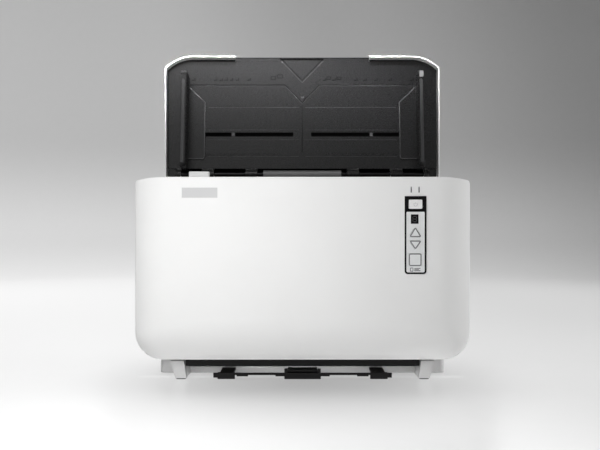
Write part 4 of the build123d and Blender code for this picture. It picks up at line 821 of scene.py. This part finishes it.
RIM_SIDE, RIM_CORNER, RIM_FOOT, RIM_BACK = (185.0, 142.8), 152.0, (182.0, -6.0), 12.5
FILL_ARROW = ((-2.2, 105.4), (0, 102.0), (2.2, 105.4))
TICK_X = (-145.0, -115.5, -108.0, -101.4, -94.0, -86.0, -70.3, 32.0, 44.6, 74.0, 86.5, 101.4, 120.4, 150.1)
TICK_UP = 127.4
SHEET_MARKS = ((-42, 129.5, 6, 4.4), (-33.5, 131.5, 7, 4.4), (33.5, 129.5, 5, 3.6), (46.5, 129.5, 6, 3.2))


def extension_lip():
    """The lip as a section carried across the machine. Its face lies level with the panel, steps down
    inside the V where |x| is less than slope times the height over the tip, rises over the bevel beside
    it, and ends in a thin ledge at the top."""
    x = np.unique(np.concatenate([np.linspace(-LIP_HALF, LIP_HALF, 61), np.linspace(-34, 34, 137)]))
    face_up = np.linspace(LIP_UP[0], LIP_UP[1] - 1.4, 9)
    beside = np.abs(x)[:, None] - NOTCH_SLOPE * (face_up[None] - NOTCH_TIP)
    bevelled = PANEL_FACE - 0.9 * (1 - np.clip(beside / NOTCH_BEVEL, 0, 1))
    out = np.where(beside < 0, EXTENSION_OUT[1] + 0.2, bevelled)
    rest = np.array([(LIP_UP[1] - 1.3, LIP_OUT), (LIP_UP[1] - 0.3, LIP_OUT), (LIP_UP[1], LIP_OUT - 0.3),
                     (LIP_UP[1], EXTENSION_OUT[0]), (LIP_UP[0], EXTENSION_OUT[0])])
    count = (len(x), len(rest))
    up = np.hstack([np.broadcast_to(face_up, out.shape), np.broadcast_to(rest[:, 0], count)])
    out = np.hstack([out, np.broadcast_to(rest[:, 1], count)])
    points = np.stack([np.broadcast_to(x[:, None], up.shape), up, out], axis=2)
    return lattice(points, wrap_v=True, caps=True)


def rim_bead(wide, inset, high):
    """A flat bead along the front of the tray's rim, inset from its outside: up the right side, round
    the corner by the curve of bend, and along the top to the lip."""
    side = np.array([RIM_SIDE[0] - inset, RIM_SIDE[1]])
    top = np.array([RIM_CORNER - inset / 2, LIP_UP[1] - inset])
    corner = bend(side, (side + top) / 2 + (2.9, 5.7), top, 14)
    path = np.concatenate([[(RIM_FOOT[0] - inset, RIM_FOOT[1])], corner, [(LIP_HALF + 0.6, top[1])]])
    return pair_of(laid_bar(path, wide, RIM_BACK, high, 0.1))


def panel_marks():
    """Width marks on the panel: short upright ticks with a dash beside each, and four small sheets."""
    ticks = [laid_bar([(x, TICK_UP), (x, TICK_UP + 3.8)], 0.9, *PANEL_LIFT) for x in TICK_X]
    dashes = [laid_bar([(x - 3.8, TICK_UP + 1.0), (x - 1.2, TICK_UP + 1.0)], 1.1, *PANEL_LIFT)
              for x in TICK_X]
    sheets = [laid_bar(rounded_outline((x, x + wide), (up, up + high), 0.4), 0.7, *PANEL_LIFT, closed=True)
              for x, up, wide, high in SHEET_MARKS]
    return joined(ticks + dashes + sheets)


class SCANNER_OT_input_tray(bpy.types.Operator):
    """The input tray's inside, darkened by a black sheet as painted shade, its lines, some lighter as
    painted highlights, its slots, marks and the pull-out extension
    """

    bl_idname = "scanner.input_tray"
    bl_label = "Input tray"

    def execute(self, context):
        def on_tray(name, bodies, finish, slot="tray_black"):
            make_piece(name, joined(bodies), tray_place, slot, "input_tray", finish)

        # A near-black sheet behind the panel is painted shade, seen through the panel's slots
        on_tray("tray_inner_liner", [slab(*INNER_SHADE_SHEET, 2.0, 0.1)], "slot_shadow")

        groove_top = PANEL_FACE + 0.03
        grooves = [pair_of(slab(span, SLOT_UP, (SLOT_FLOOR, SLOT_FLOOR + 0.1), 0.3, 0.05))
                   for span in SLOT_SPANS]
        grooves.append(laid_bar(V_LINE, 1.2, V_LINE_FLOOR, groove_top))
        grooves += [pair_of(laid_bar([(span[0], up), (span[1], up)], 0.45, SLOT_FLOOR, groove_top))
                    for span in SLOT_SPANS for up in wider(SLOT_UP, 0.2)]
        on_tray("panel_shadows", grooves, "slot_shadow")

        notch = np.array([(-NOTCH_SLOPE, 1.0), (0.0, 0.0), (NOTCH_SLOPE, 1.0)]) * NOTCH_RISE
        notch = notch + (0, NOTCH_TIP)
        # The dark line down the middle is the panel's seam; the dark line along the notch's edges is painted
        # shade
        seam_and_notch_shade = [laid_bar(SEAM, 0.5, V_LINE_FLOOR, V_LINE_FLOOR + 0.2),
                 laid_bar(notch, 0.7, PANEL_FACE - 1.5, PANEL_FACE - 0.5)]
        on_tray("panel_seams", seam_and_notch_shade, "tray_seam")

        lips = [pair_of(slab(GUIDE_SLOT_X, up, (PANEL_FACE - 1.0, PANEL_FACE - 0.03), 0.2, 0.1))
                for up in GUIDE_SLOT_LIPS]
        half = NOTCH_SLOPE * (LIP_UP[0] - NOTCH_TIP - 0.6)
        floor = [(0, NOTCH_TIP + 0.4), (half, LIP_UP[0] - 0.3), (-half, LIP_UP[0] - 0.3)]
        lips += [rim_bead(1.0, 2.5, 13.06),
                 outline_slab(floor, [(0, PANEL_FACE - 1.9), (0, PANEL_FACE - 0.8)])]
        on_tray("slot_lips_and_rim_seal", lips, "tray_black")

        # Lighter bars below the V line, along the fine lines, beside the notch and over the slot step are
        # painted highlights
        edges = [laid_bar(np.array(V_LINE) - (0, 0.9), 0.5, LINE_FOOT, PANEL_FACE + 0.12, 0.1)]
        edges += [pair_of(laid_bar([(FINE_LINE_X[0], up), (FINE_LINE_X[1], up)], 0.45, LINE_FOOT,
                                   PANEL_FACE + 0.1, 0.1)) for up in FINE_LINES]
        step = [(SLOT_STEP, up) for up in SLOT_UP]
        edges += [laid_bar(notch - (0, NOTCH_BEVEL * 1.6), 0.6, LINE_FOOT, PANEL_FACE + 0.12, 0.1),
                  pair_of(laid_bar(step, 3.6, LINE_FOOT, PANEL_FACE + 0.25, 0.2))]
        on_tray("panel_lit_edges", edges, "tray_edge")

        on_tray("rim_bead", [rim_bead(1.9, 1.05, 13.1)], "white_shell", "white_shell")
        on_tray("panel_marks", [panel_marks()], "tray_mark")
        arrow = [(0, LINE_FOOT), (0, PANEL_FACE + 0.05), (0.1, PANEL_FACE + 0.12)]
        on_tray("fill_mark", [outline_slab(FILL_ARROW, arrow)], "tray_arrow")
        plate = slab((-EXTENSION_HALF, EXTENSION_HALF), (EXTENSION_FOOT, LIP_UP[0]), EXTENSION_OUT,
                     1.0, 0.2)
        make_piece("extension_plate_and_lip", joined([plate, extension_lip()]), tray_place, "tray_black",
                   "tray_extension", replaces=["tray_extension"])
        return {"FINISHED"}


# Tray hinge

KNUCKLES = ((60.0, 76.0), (118.0, 134.0), (162.5, 167.5))
KNUCKLE_BORE, KNUCKLE_RADIUS = 4.9, 5.3
KNUCKLE_COVER = ((-1.0, 6.4), (0.0, 2.9))
HINGE_END = ((169.9, 179.1), (-6.3, 6.4), (2.5, 2.9))
BARREL_RING, BARREL_RING_RADIUS = (49.6, 51.9), 5.25
EAR, EAR_BORE, EAR_RADIUS = (167.8, 169.7), 3.0, 6.8
SLEEVE_SOFT = 0.2


class SCANNER_OT_tray_hinge(bpy.types.Operator):
    """Black sleeves over the tray's hinge knuckles and end rings on the middle barrel"""

    bl_idname = "scanner.tray_hinge"
    bl_label = "Tray hinge"

    def execute(self, context):
        sleeves = [soft_ring(wider(span, 0.15), KNUCKLE_BORE, KNUCKLE_RADIUS, SLEEVE_SOFT)
                   for span in KNUCKLES]
        sleeves += [slab(wider(span, 0.2), *KNUCKLE_COVER, 0.3, 0.3) for span in KNUCKLES]
        sleeves.append(slab(*HINGE_END, 0.5, 0.2))
        make_piece("knuckle_sleeves", joined([pair_of(body) for body in sleeves]), tray_place, "tray_black",
                   "input_tray")
        rings = pair_of(soft_ring(BARREL_RING, KNUCKLE_BORE, BARREL_RING_RADIUS, SLEEVE_SOFT))
        ears = pair_of(soft_ring(EAR, EAR_BORE, EAR_RADIUS, SLEEVE_SOFT))
        at_hinge = (0, *TRAY_HINGE)
        make_piece("hinge_ear_covers", ears.moved(at_hinge), front_place, "tray_black", "base")
        make_piece("barrel_end_rings", rings.moved(at_hinge), front_place, "body_grey", "base",
                   "barrel_grey")
        return {"FINISHED"}


# Paper guides

FOOT_EDGE = ((152.5, 119.0), (129.9, 97.5), (129.9, 19.0), (152.5, 19.0))
FOOT_TOP, FOOT_CORNER = 7.0, 4.0
FENCE_X, FENCE_FRONT = (152.5, 159.7), 39.0
RIB_UP, HIGHLIGHT_PAD_UP = (8.0, 120.0), (122.5, 131.0)


def foot_trim(wide):
    """The raised edge of the right foot plate: down the chamfer, down the inner side, round the lower
    corner by the curve of bend and back to the fence."""
    corner = np.array(FOOT_EDGE[2])
    eased_corner = bend(corner + (0, FOOT_CORNER), corner, corner + (FOOT_CORNER, 0), 6)
    path = np.concatenate([FOOT_EDGE[:2], eased_corner, [FOOT_EDGE[3]]])
    path = path + sideways(path, False) * (wide / 2 + 0.15)
    return laid_bar(path, wide, FOOT_TOP - 0.05, FOOT_TOP + 0.3, 0.25)


class SCANNER_OT_paper_guides(bpy.types.Operator):
    """Raised edges and front ribs on both paper guides, lighter as painted highlights, and a grey pad on the
    right fence as a painted highlight
    """

    bl_idname = "scanner.paper_guides"
    bl_label = "Paper guides"

    def execute(self, context):
        trim = foot_trim(context.scene.scanner_sizes.trim_width / MM)
        rib = slab(wider(FENCE_X, -1.6), RIB_UP, (FENCE_FRONT, FENCE_FRONT + 0.2), 1.8, 0.15)
        for side in ("right", "left"):
            # The trims and ribs take lighter blacks as painted highlights
            for kind, body, finish in (("trim", trim, "tray_edge"), ("rib", rib, "fence_rib")):
                placed = body if side == "right" else body.mirrored()
                make_piece(f"{side}_guide_{kind}", placed, tray_place, "tray_black", side + "_guide",
                           finish)
        # A grey pad at the top of the right fence only is a painted highlight
        rest = slab((FENCE_X[0] + 1.2, FENCE_X[1] - 0.4), HIGHLIGHT_PAD_UP, (FENCE_FRONT - 0.3, FENCE_FRONT + 0.4),
                    1.2, 0.3)
        make_piece("right_guide_rest", rest, tray_place, "tray_black", "right_guide", "barrel_grey")
        return {"FINISHED"}


# Rollers, pulleys and belt

EXIT_AT, TRANSPORT_AT, FEED_AT = 40.0, 146.0, 178.0
DRIVE_RADIUS, FEED_RADIUS, PINCH_RADIUS, SEPARATION_RADIUS = 9.0, 14.0, 7.0, 12.0
NIP = 0.15
SLEEVE_RADIUS, SHAFT_RADIUS, PINCH_SHAFT = 4.5, 3.0, 2.0
TYRE_PLACES, TYRE_SOFT, GROOVE = (-105.0, -35.0, 35.0, 105.0), 0.5, 0.3
TYRE_HALF, FEED_TYRE_HALF, SEPARATION_HALF = 8.0, 20.0, 14.0
PINCH_ENDS, SEPARATION_ENDS, MOTOR_ENDS = (-150.0, 150.0), (-22.0, 22.0), (156.5, 180.5)
CLIP_X, CLIP_RADIUS = (165.2, 165.9), 5.0
PULLEY_X, PULLEY_RIM, PULLEY_CHEEK, PULLEY_SOFT, PULLEY_TOOTH = (158.5, 163.5), 1.6, 1.0, 0.3, 0.5
MOTOR_AT, MOTOR_PULLEY = (150.0, 95.0), 7.0
MOTOR_RING = ((187.6, 15.0, 0), (187.6, 20.3, 0), (188.2, 20.8, 0), (188.7, 20.3, 0), (188.7, 15.4, 0))
MOTOR_SCREW_X, MOTOR_SCREW_OFF = (170.4, 172.4), 25.2
BELT_GAP, BELT_THICK, BELT_INSET, BELT_TOOTH = 0.35, 1.2, 0.3, 0.45
WAVE_POINTS = 8

# Driven rollers: place along the path, radius, places of the tyres, half their width, pulley radius
DRIVEN = {
    "exit": (EXIT_AT, DRIVE_RADIUS, TYRE_PLACES, TYRE_HALF, 8.0),
    "transport": (TRANSPORT_AT, DRIVE_RADIUS, TYRE_PLACES, TYRE_HALF, 8.0),
    "feed": (FEED_AT, FEED_RADIUS, (0.0,), FEED_TYRE_HALF, 13.0),
}


def tyre(middle, half, radius, bore, grooves):
    """A rubber tyre on its sleeve, ground with shallow grooves along the shaft."""
    return soft_ring(wider((middle, middle), half), bore, radius, TYRE_SOFT, grooves * 6, grooves, GROOVE)


def toothed_wheel(radius, pitch):
    """A belt pulley: a toothed rim between two cheeks with rounded edges."""
    cheek, soft = radius + PULLEY_RIM, PULLEY_SOFT
    half = []
    for x, out in zip(PULLEY_X, (-1, 1)):
        face = x + out * PULLEY_CHEEK
        half.append([(face, SHAFT_RADIUS, 0), (face, cheek - soft, 0), (face - out * soft, cheek, 0),
                     (x + out * soft, cheek, 0), (x, radius + soft, 0), (x, radius, 1)])
    teeth = int(round(2 * np.pi * radius / pitch))
    return turned(half[0] + half[1][::-1], teeth * WAVE_POINTS, teeth, PULLEY_TOOTH)


def path_spot(along, off):
    """Depth and height in millimetres of a point of the paper path."""
    place = path_place([(0.0, along, off)])[0] / MM
    return place[1] - FRONT_Y, place[2]


def belt_surface(pitch):
    """The belt as a section carried round the pulleys. In each direction its line goes through the
    point of the pulley that reaches farthest that way, and the straight runs join those arcs. The inner
    face steps by the tooth wave of the length, one wave a tooth."""
    driven = [DRIVEN[name] for name in ("exit", "feed")]
    wheels = [(*path_spot(at, -(roller + NIP)), pulley) for at, roller, _, _, pulley in driven]
    t, z, radius = np.array([*wheels, (*MOTOR_AT, MOTOR_PULLEY)]).T
    radius = radius + BELT_GAP
    turn = np.linspace(0, 2 * np.pi, 721)[:-1]
    way = np.stack([np.cos(turn), np.sin(turn)], axis=1)
    farthest = np.argmax(t * way[:, :1] + z * way[:, 1:] + radius, axis=1)
    line = np.stack([t[farthest], z[farthest]], axis=1) + way * radius[farthest][:, None]
    line = np.concatenate([line, line[:1]])
    length = np.concatenate([[0], np.cumsum(np.linalg.norm(np.diff(line, axis=0), axis=1))])
    teeth = int(round(length[-1] / pitch))
    spots = np.linspace(0, length[-1], teeth * WAVE_POINTS + 1)[:-1]
    path = np.stack([np.interp(spots, length, line[:, 0]), np.interp(spots, length, line[:, 1])], axis=1)
    outward = -sideways(path, True)
    outward /= np.linalg.norm(outward, axis=1, keepdims=True)
    tooth = tooth_wave(2 * np.pi * spots / length[-1] * teeth, BELT_TOOTH)
    inner, outer = path + outward * tooth[:, None], path + outward * BELT_THICK
    low, high = wider(PULLEY_X, -BELT_INSET)
    rows = [np.column_stack([np.full(len(path), x), face]) for x, face in
            ((low, inner), (low, outer), (high, outer), (high, inner))]
    return lattice(np.stack(rows, axis=1), wrap_u=True, wrap_v=True)


class SCANNER_OT_rollers(bpy.types.Operator):
    """Grooved tyres, pinch and separation rollers, and clips on their shafts"""

    bl_idname = "scanner.rollers"
    bl_label = "Rollers"

    def execute(self, context):
        grooves = context.scene.scanner_sizes.tyre_grooves
        clip = turned([(x, r, 0) for x, r in ((CLIP_X[0], SHAFT_RADIUS), (CLIP_X[0], CLIP_RADIUS),
                                              (CLIP_X[1], CLIP_RADIUS), (CLIP_X[1], SHAFT_RADIUS))], 48)
        for name, (at, radius, places, half, _) in DRIVEN.items():
            centre, roller = (0, at, -(radius + NIP)), name + "_roller"
            tyres = joined([tyre(x, half, radius, SLEEVE_RADIUS, grooves) for x in places])
            make_piece(name + "_grooved_tyres", tyres.moved(centre), path_place, "roller_rubber", roller,
                       replaces=[roller + "_tyres"], smooth=40)
            make_piece(name + "_shaft_clips", pair_of(clip).moved(centre), path_place, "steel", roller,
                       smooth=40)
        for name, at in (("exit", EXIT_AT), ("transport", TRANSPORT_AT)):
            centre, roller = (0, at, PINCH_RADIUS + NIP), name + "_pinch_roller"
            wheels = joined([tyre(x, TYRE_HALF, PINCH_RADIUS, PINCH_SHAFT, grooves // 2)
                             for x in TYRE_PLACES])
            make_piece(name + "_pinch_wheels", wheels.moved(centre), path_place, "roller_rubber", roller,
                       "pinch_rubber", [roller], smooth=40)
            make_piece(name + "_pinch_shaft", turned_bar(PINCH_ENDS, PINCH_SHAFT).moved(centre), path_place,
                       "steel", roller, smooth=40)
        centre, roller = (0, FEED_AT, SEPARATION_RADIUS + NIP), "separation_roller"
        wheel = tyre(0.0, SEPARATION_HALF, SEPARATION_RADIUS, SHAFT_RADIUS, grooves)
        make_piece("separation_wheel", wheel.moved(centre), path_place, "roller_rubber", roller,
                   "pinch_rubber", [roller], smooth=40)
        make_piece("separation_shaft", turned_bar(SEPARATION_ENDS, SHAFT_RADIUS).moved(centre), path_place,
                   "steel", roller, smooth=40)
        return {"FINISHED"}


class SCANNER_OT_belt_drive(bpy.types.Operator):
    """Toothed pulleys and belt, and the motor's end ring and screws"""

    bl_idname = "scanner.belt_drive"
    bl_label = "Belt drive"

    def execute(self, context):
        pitch = context.scene.scanner_sizes.belt_pitch / MM
        for name, (at, roller, _, _, pulley) in DRIVEN.items():
            wheel = toothed_wheel(pulley, pitch).moved((0, at, -(roller + NIP)))
            make_piece(name + "_toothed_pulley", wheel, path_place, "pulley_plastic", name + "_roller",
                       replaces=[name + "_roller_pulley"], smooth=30)
        motor = (0, *MOTOR_AT)
        make_piece("motor_toothed_pulley", toothed_wheel(MOTOR_PULLEY, pitch).moved(motor), front_place,
                   "pulley_plastic", "motor_pulley", replaces=["motor_pulley"], smooth=30)
        make_piece("motor_shaft", turned_bar(MOTOR_ENDS, SHAFT_RADIUS).moved(motor), front_place, "steel",
                   "motor_pulley", smooth=40)
        make_piece("toothed_belt", belt_surface(pitch), front_place, "foot_rubber", "base",
                   replaces=["drive_belt"], smooth=30)
        screw = turned_bar(MOTOR_SCREW_X, 2.9, 0.5, 24)
        ends = [turned(MOTOR_RING, 96), *(screw.moved((0, side * MOTOR_SCREW_OFF, 0)) for side in (-1, 1))]
        make_piece("motor_ring_and_screws", joined(ends).moved(motor), front_place, "steel", "base",
                   smooth=40)
        return {"FINISHED"}


# Boards and sensors

# Parts on the main board: span across, depth of the face, span of heights
MAIN_CHIPS = (((-90.0, -60.0), 197.4, (120.0, 150.0)), ((-45.0, -30.0), 198.4, (125.0, 145.0)),
              ((-20.0, 10.0), 194.0, (84.0, 90.0)), ((-130.0, -110.0), 194.0, (100.0, 116.0)))
BOARD_FACE, LEG_FACE, SMALL_FACE = 200.0, 199.65, 199.2
LEGS, LEG_OUT, LEG_IN = 12, 1.6, 0.2
SMALL_X, SMALL_Z, SMALL_SIZE = (-50.0, -20.0, -5.0, 8.0), (66.0, 72.0, 104.0, 112.0, 158.0), (2.4, 1.4)
INLET_PIN, INLET_AT = (204.0, 213.1), (-139.0, 0, 71.0)
SENSOR_HALF, SENSOR_OFF = 150.0, (3.4, 2.95)

# Line sensors: name, what they ride on, where their window starts along the path, side of the path
SENSORS = (("front", "front_cover", 111.5, 1), ("rear", "base", 84.5, -1))

# Strips in each window: name, span along it, corner radius, finish
SENSOR_STRIPS = (("lamp", (3.0, 5.2), 0.6, "light_bar"), ("lens", (8.4, 9.6), 0.4, "panel_black"))


def chip_legs(span_x, span_z):
    """Two rows of legs beside a chip, each a short flat bar."""
    heights = np.linspace(span_z[0] + 1.5, span_z[1] - 1.5, LEGS)
    rows = ((span_x[0] - LEG_OUT, span_x[0] + LEG_IN), (span_x[1] - LEG_IN, span_x[1] + LEG_OUT))
    return joined([laid_bar([(x[0], z), (x[1], z)], 0.5, BOARD_FACE, LEG_FACE)
                   for x in rows for z in heights])


class SCANNER_OT_electronics(bpy.types.Operator):
    """Chips, legs and small parts on the main board, the inlet's pin, and the line sensors' strips"""

    bl_idname = "scanner.electronics"
    bl_label = "Electronics"

    def execute(self, context):
        chips = [slab(wider(x, 0.1), wider(z, 0.1), (BOARD_FACE, face - 0.1), 0.4, 0.35)
                 for x, face, z in MAIN_CHIPS]
        legs = [chip_legs(x, z) for x, _, z in MAIN_CHIPS[:2]]
        small = [slab((x, x + SMALL_SIZE[0]), (z, z + SMALL_SIZE[1]), (BOARD_FACE, SMALL_FACE), 0.15, 0.1)
                 for x in SMALL_X for z in SMALL_Z]
        for name, bodies, finish in (("board_chips", chips, "chip_black"), ("chip_legs", legs, "steel"),
                                     ("board_small_parts", small, "pulley_plastic")):
            make_piece(name, joined(bodies), face_place, "board_green", "base", finish)
        pin = turned_bar(INLET_PIN, 1.15, 0.4, 24)
        pin = pin.on(pin.points[:, [1, 0, 2]]).moved(INLET_AT)
        make_piece("inlet_pin", pin, front_place, "steel", "base", smooth=40)
        for name, rides, window, sign in SENSORS:
            off = (SENSOR_OFF[0] * sign, SENSOR_OFF[1] * sign)
            for kind, (low, high), radius, finish in SENSOR_STRIPS:
                strip = slab((-SENSOR_HALF, SENSOR_HALF), (window + low, window + high), off, radius)
                make_piece(f"{name}_sensor_{kind}", strip, path_place, "sensor_glass", rides, finish)
        return {"FINISHED"}


# Studio

FLOOR_START, FLOOR_RADIUS, WALL_RADIUS, WALL_TOP = 0.4, 1.9, 2.8, 2.4
MIDDLE = (0.0, 0.0, 0.15)
GLOW_SHARE, OVERHEAD_SHARE = 0.62, 0.6
CAMERA_SIDE, CAMERA_CLIP = -0.003, (0.05, 20.0)


def add_lamp(name, power, place, target, size, spread=180.0, mirrored=True):
    """A soft rectangular lamp at a place, pointed at a target, in metres: its light spreads by so many
    degrees, and glossy surfaces mirror it or not."""
    light = bpy.data.lights.new(name, "AREA")
    light.shape = "RECTANGLE"
    light.size, light.size_y = size
    light.energy = power
    light.spread = np.radians(spread)
    lamp = bpy.data.objects.new(name, light)
    bpy.context.scene.collection.objects.link(lamp)
    lamp.location = place
    lamp.rotation_euler = (Vector(target) - Vector(place)).to_track_quat("-Z", "Y").to_euler()
    lamp.visible_camera = False
    lamp.visible_glossy = mirrored


def sweep_round_studio():
    """The studio's floor and wall as one surface of revolution, in metres: a flat disc, a quarter
    ellipse and an upright wall turned round the middle of the machine."""
    turn = np.linspace(0, np.pi / 2, 16)
    rise = WALL_RADIUS - FLOOR_RADIUS
    radius = np.concatenate([[FLOOR_START, 1.0], FLOOR_RADIUS + rise * np.sin(turn), [WALL_RADIUS]])
    height = np.concatenate([[0.0, 0.0], rise * (1 - np.cos(turn)), [WALL_TOP]])
    radius, height = radius[:, None], height[:, None]
    turn = np.linspace(0, 2 * np.pi, 97)[:-1]
    points = np.stack(np.broadcast_arrays(radius * np.cos(turn), radius * np.sin(turn), height), axis=-1)
    body = lattice(points, wrap_v=True)
    rim = np.arange(len(turn))
    return Body(body.points, np.append(body.loops, rim), np.append(body.sizes, len(rim)))


def grey_ramp(made, value, stops):
    """A grey tone by a value, eased between stops of place and tone."""
    tone = made.node("ValToRGB", "Color", {"Fac": value})
    ramp = tone.node.color_ramp
    ramp.interpolation = "EASE"
    while len(ramp.elements) < len(stops):
        ramp.elements.new(0.5)
    for element, (place, grey) in zip(ramp.elements, stops):
        element.position = place
        element.color = (grey, grey, grey, 1.0)
    return tone


def backdrop_material():
    """Pale paper: it takes the lamps' light and the machine's shadow, and to the camera it also glows by a
    painted gradient of light and shade, white on the floor and greyer up the wall and to the right, with a
    painted shadow near the machine."""
    made = Finish("backdrop_paper")
    made.feed(made.shader, {
        "Base Color": made.tinted(made.noise(40.0, 3.0), (0.78, 0.78, 0.78), (0.8, 0.8, 0.8)),
        "Roughness": 0.2,
        "Specular IOR Level": 0.45,
    })
    height = made.node("SeparateXYZ", "Z", {"Vector": made.coords})
    slanted = made.node("VectorMath", "Value", {0: made.coords, 1: (1.0, 0.0, 0.35)},
                        operation="DOT_PRODUCT")
    near = made.node("Mapping", "Vector", {"Vector": made.coords, "Location": (0.0, 0.36, 0.0),
                                           "Scale": (1 / 0.3, 1 / 0.28, 1.0)})
    # painted shadow: the glow dims round the machine's place on the floor
    shadow_pool = made.node("TexGradient", "Fac", {"Vector": near}, gradient_type="SPHERICAL")
    up = grey_ramp(made, made.span(height, 0.0, 1.6), ((0.0, 1.13), (0.08, 1.0), (0.35, 0.69), (1.0, 0.63)))
    across = grey_ramp(made, made.span(slanted, -1.2, 1.7),
                       ((0.0, 1.0), (0.3, 0.95), (0.6, 0.66), (1.0, 0.3)))
    shade = grey_ramp(made, shadow_pool, ((0.0, 1.0), (1.0, 0.52)))
    tone = made.mixed(1.0, made.mixed(1.0, up, across, "MULTIPLY"), shade, "MULTIPLY")
    glow = made.node("Emission", "Emission", {"Color": tone})

    rays = made.nodes.new("ShaderNodeLightPath").outputs
    seen = rays["Is Camera Ray"]
    for kind in ("Is Glossy Ray", "Is Transmission Ray"):
        seen = made.node("Math", "Value", {0: seen, 1: rays[kind]}, operation="MAXIMUM")
    share = made.node("Math", "Value", {0: seen, 1: GLOW_SHARE}, operation="MULTIPLY")
    paper = made.node("MixShader", "Shader", {0: share, 1: made.shader.outputs["BSDF"], 2: glow})
    made.feed(made.nodes["Material Output"], {"Surface": paper})
    return made.material


class SCANNER_OT_stage(bpy.types.Operator):
    """Set up the camera, lamps, floor and backdrop"""

    bl_idname = "scanner.stage"
    bl_label = "Studio"

    def execute(self, context):
        scene = context.scene
        studio = scene.scanner_studio
        scene.view_settings.view_transform = "Standard"
        camera = bpy.data.cameras.new("camera")
        camera.lens = studio.lens
        camera.clip_start, camera.clip_end = CAMERA_CLIP
        eye = bpy.data.objects.new("camera", camera)
        scene.collection.objects.link(eye)
        eye.location = (CAMERA_SIDE, -studio.distance, studio.height)
        eye.rotation_euler = (np.radians(90.0), 0.0, 0.0)
        scene.camera = eye

        world = bpy.data.worlds.new("studio")
        world.use_nodes = True
        background = world.node_tree.nodes["Background"]
        background.inputs["Color"].default_value = (1, 1, 1, 1)
        background.inputs["Strength"].default_value = studio.ambient
        scene.world = world

        body = sweep_round_studio()
        backdrop = new_object("backdrop", body.points, body, backdrop_material())
        backdrop.data.shade_smooth()

        # Name, power, place, target, size, spread in degrees, mirrored in glossy surfaces or not
        back = studio.back_power
        for lamp in (
            ("front", studio.front_power, (-0.17, -0.5, 0.26), (-0.08, -0.1, 0.15), (0.3, 0.35),
             180, False),
            ("top", studio.top_power, (-0.22, -1.0, 1.1), (0.0, 0.05, 0.25), (0.6, 0.24)),
            ("right_side", studio.right_power, (1.0, 0.05, 0.3), MIDDLE, (0.25, 0.8), 180, False),
            ("left_side", studio.left_power, (-1.0, 0.12, 0.35), MIDDLE, (0.25, 0.8)),
            ("table_glow", studio.low_power, (-0.02, -0.62, 0.065), (0.0, -0.028, 0.005), (1.3, 0.02),
             5, False),
            ("floor_bounce", studio.floor_power, (0.0, -0.085, 0.002), (0.0, -0.08, 0.1), (0.36, 0.05),
             180, False),
            ("foot_glow", studio.foot_power, (0.0, -0.055, 0.0015), (0.0, -0.028, 0.006), (0.385, 0.012),
             180, False),
            ("tray_light", studio.rim_power, (-0.06, -0.45, 1.1), (-0.02, 0.1, 0.4), (0.34, 0.05),
             11, False),
            ("overhead", OVERHEAD_SHARE * back, (0.0, 0.15, 1.2), (0.0, 0.08, 0.3), (1.0, 0.3)),
            ("back_left", back, (-0.9, 1.3, 0.9), MIDDLE, (0.9, 0.9)),
            ("back_right", back, (0.9, 1.3, 0.9), MIDDLE, (0.9, 0.9)),
        ):
            add_lamp(*lamp)
        return {"FINISHED"}


class VIEW3D_PT_scanner(bpy.types.Panel):
    """Lists the steps that dress the scanner"""

    bl_label = "Document scanner"
    bl_space_type = "VIEW_3D"
    bl_region_type = "UI"
    bl_category = "Scanner"

    def draw(self, context):
        for step in STEPS:
            self.layout.operator(step.bl_idname)


STEPS = (SCANNER_OT_finishes, SCANNER_OT_front_shell, SCANNER_OT_control_panel, SCANNER_OT_input_tray,
         SCANNER_OT_tray_hinge, SCANNER_OT_paper_guides, SCANNER_OT_rollers, SCANNER_OT_belt_drive,
         SCANNER_OT_electronics, SCANNER_OT_stage)
CLASSES = (ScannerColours, ScannerSizes, StudioSettings, *STEPS, VIEW3D_PT_scanner)


def register():
    for item in CLASSES:
        bpy.utils.register_class(item)
    bpy.types.Scene.scanner_colours = bpy.props.PointerProperty(type=ScannerColours)
    bpy.types.Scene.scanner_sizes = bpy.props.PointerProperty(type=ScannerSizes)
    bpy.types.Scene.scanner_studio = bpy.props.PointerProperty(type=StudioSettings)


def unregister():
    del bpy.types.Scene.scanner_studio
    del bpy.types.Scene.scanner_sizes
    del bpy.types.Scene.scanner_colours
    for item in reversed(CLASSES):
        bpy.utils.unregister_class(item)


def main():
    register()
    for step in STEPS:
        group, name = step.bl_idname.split(".")
        getattr(getattr(bpy.ops, group), name)()


if __name__ == "__main__":
    main()
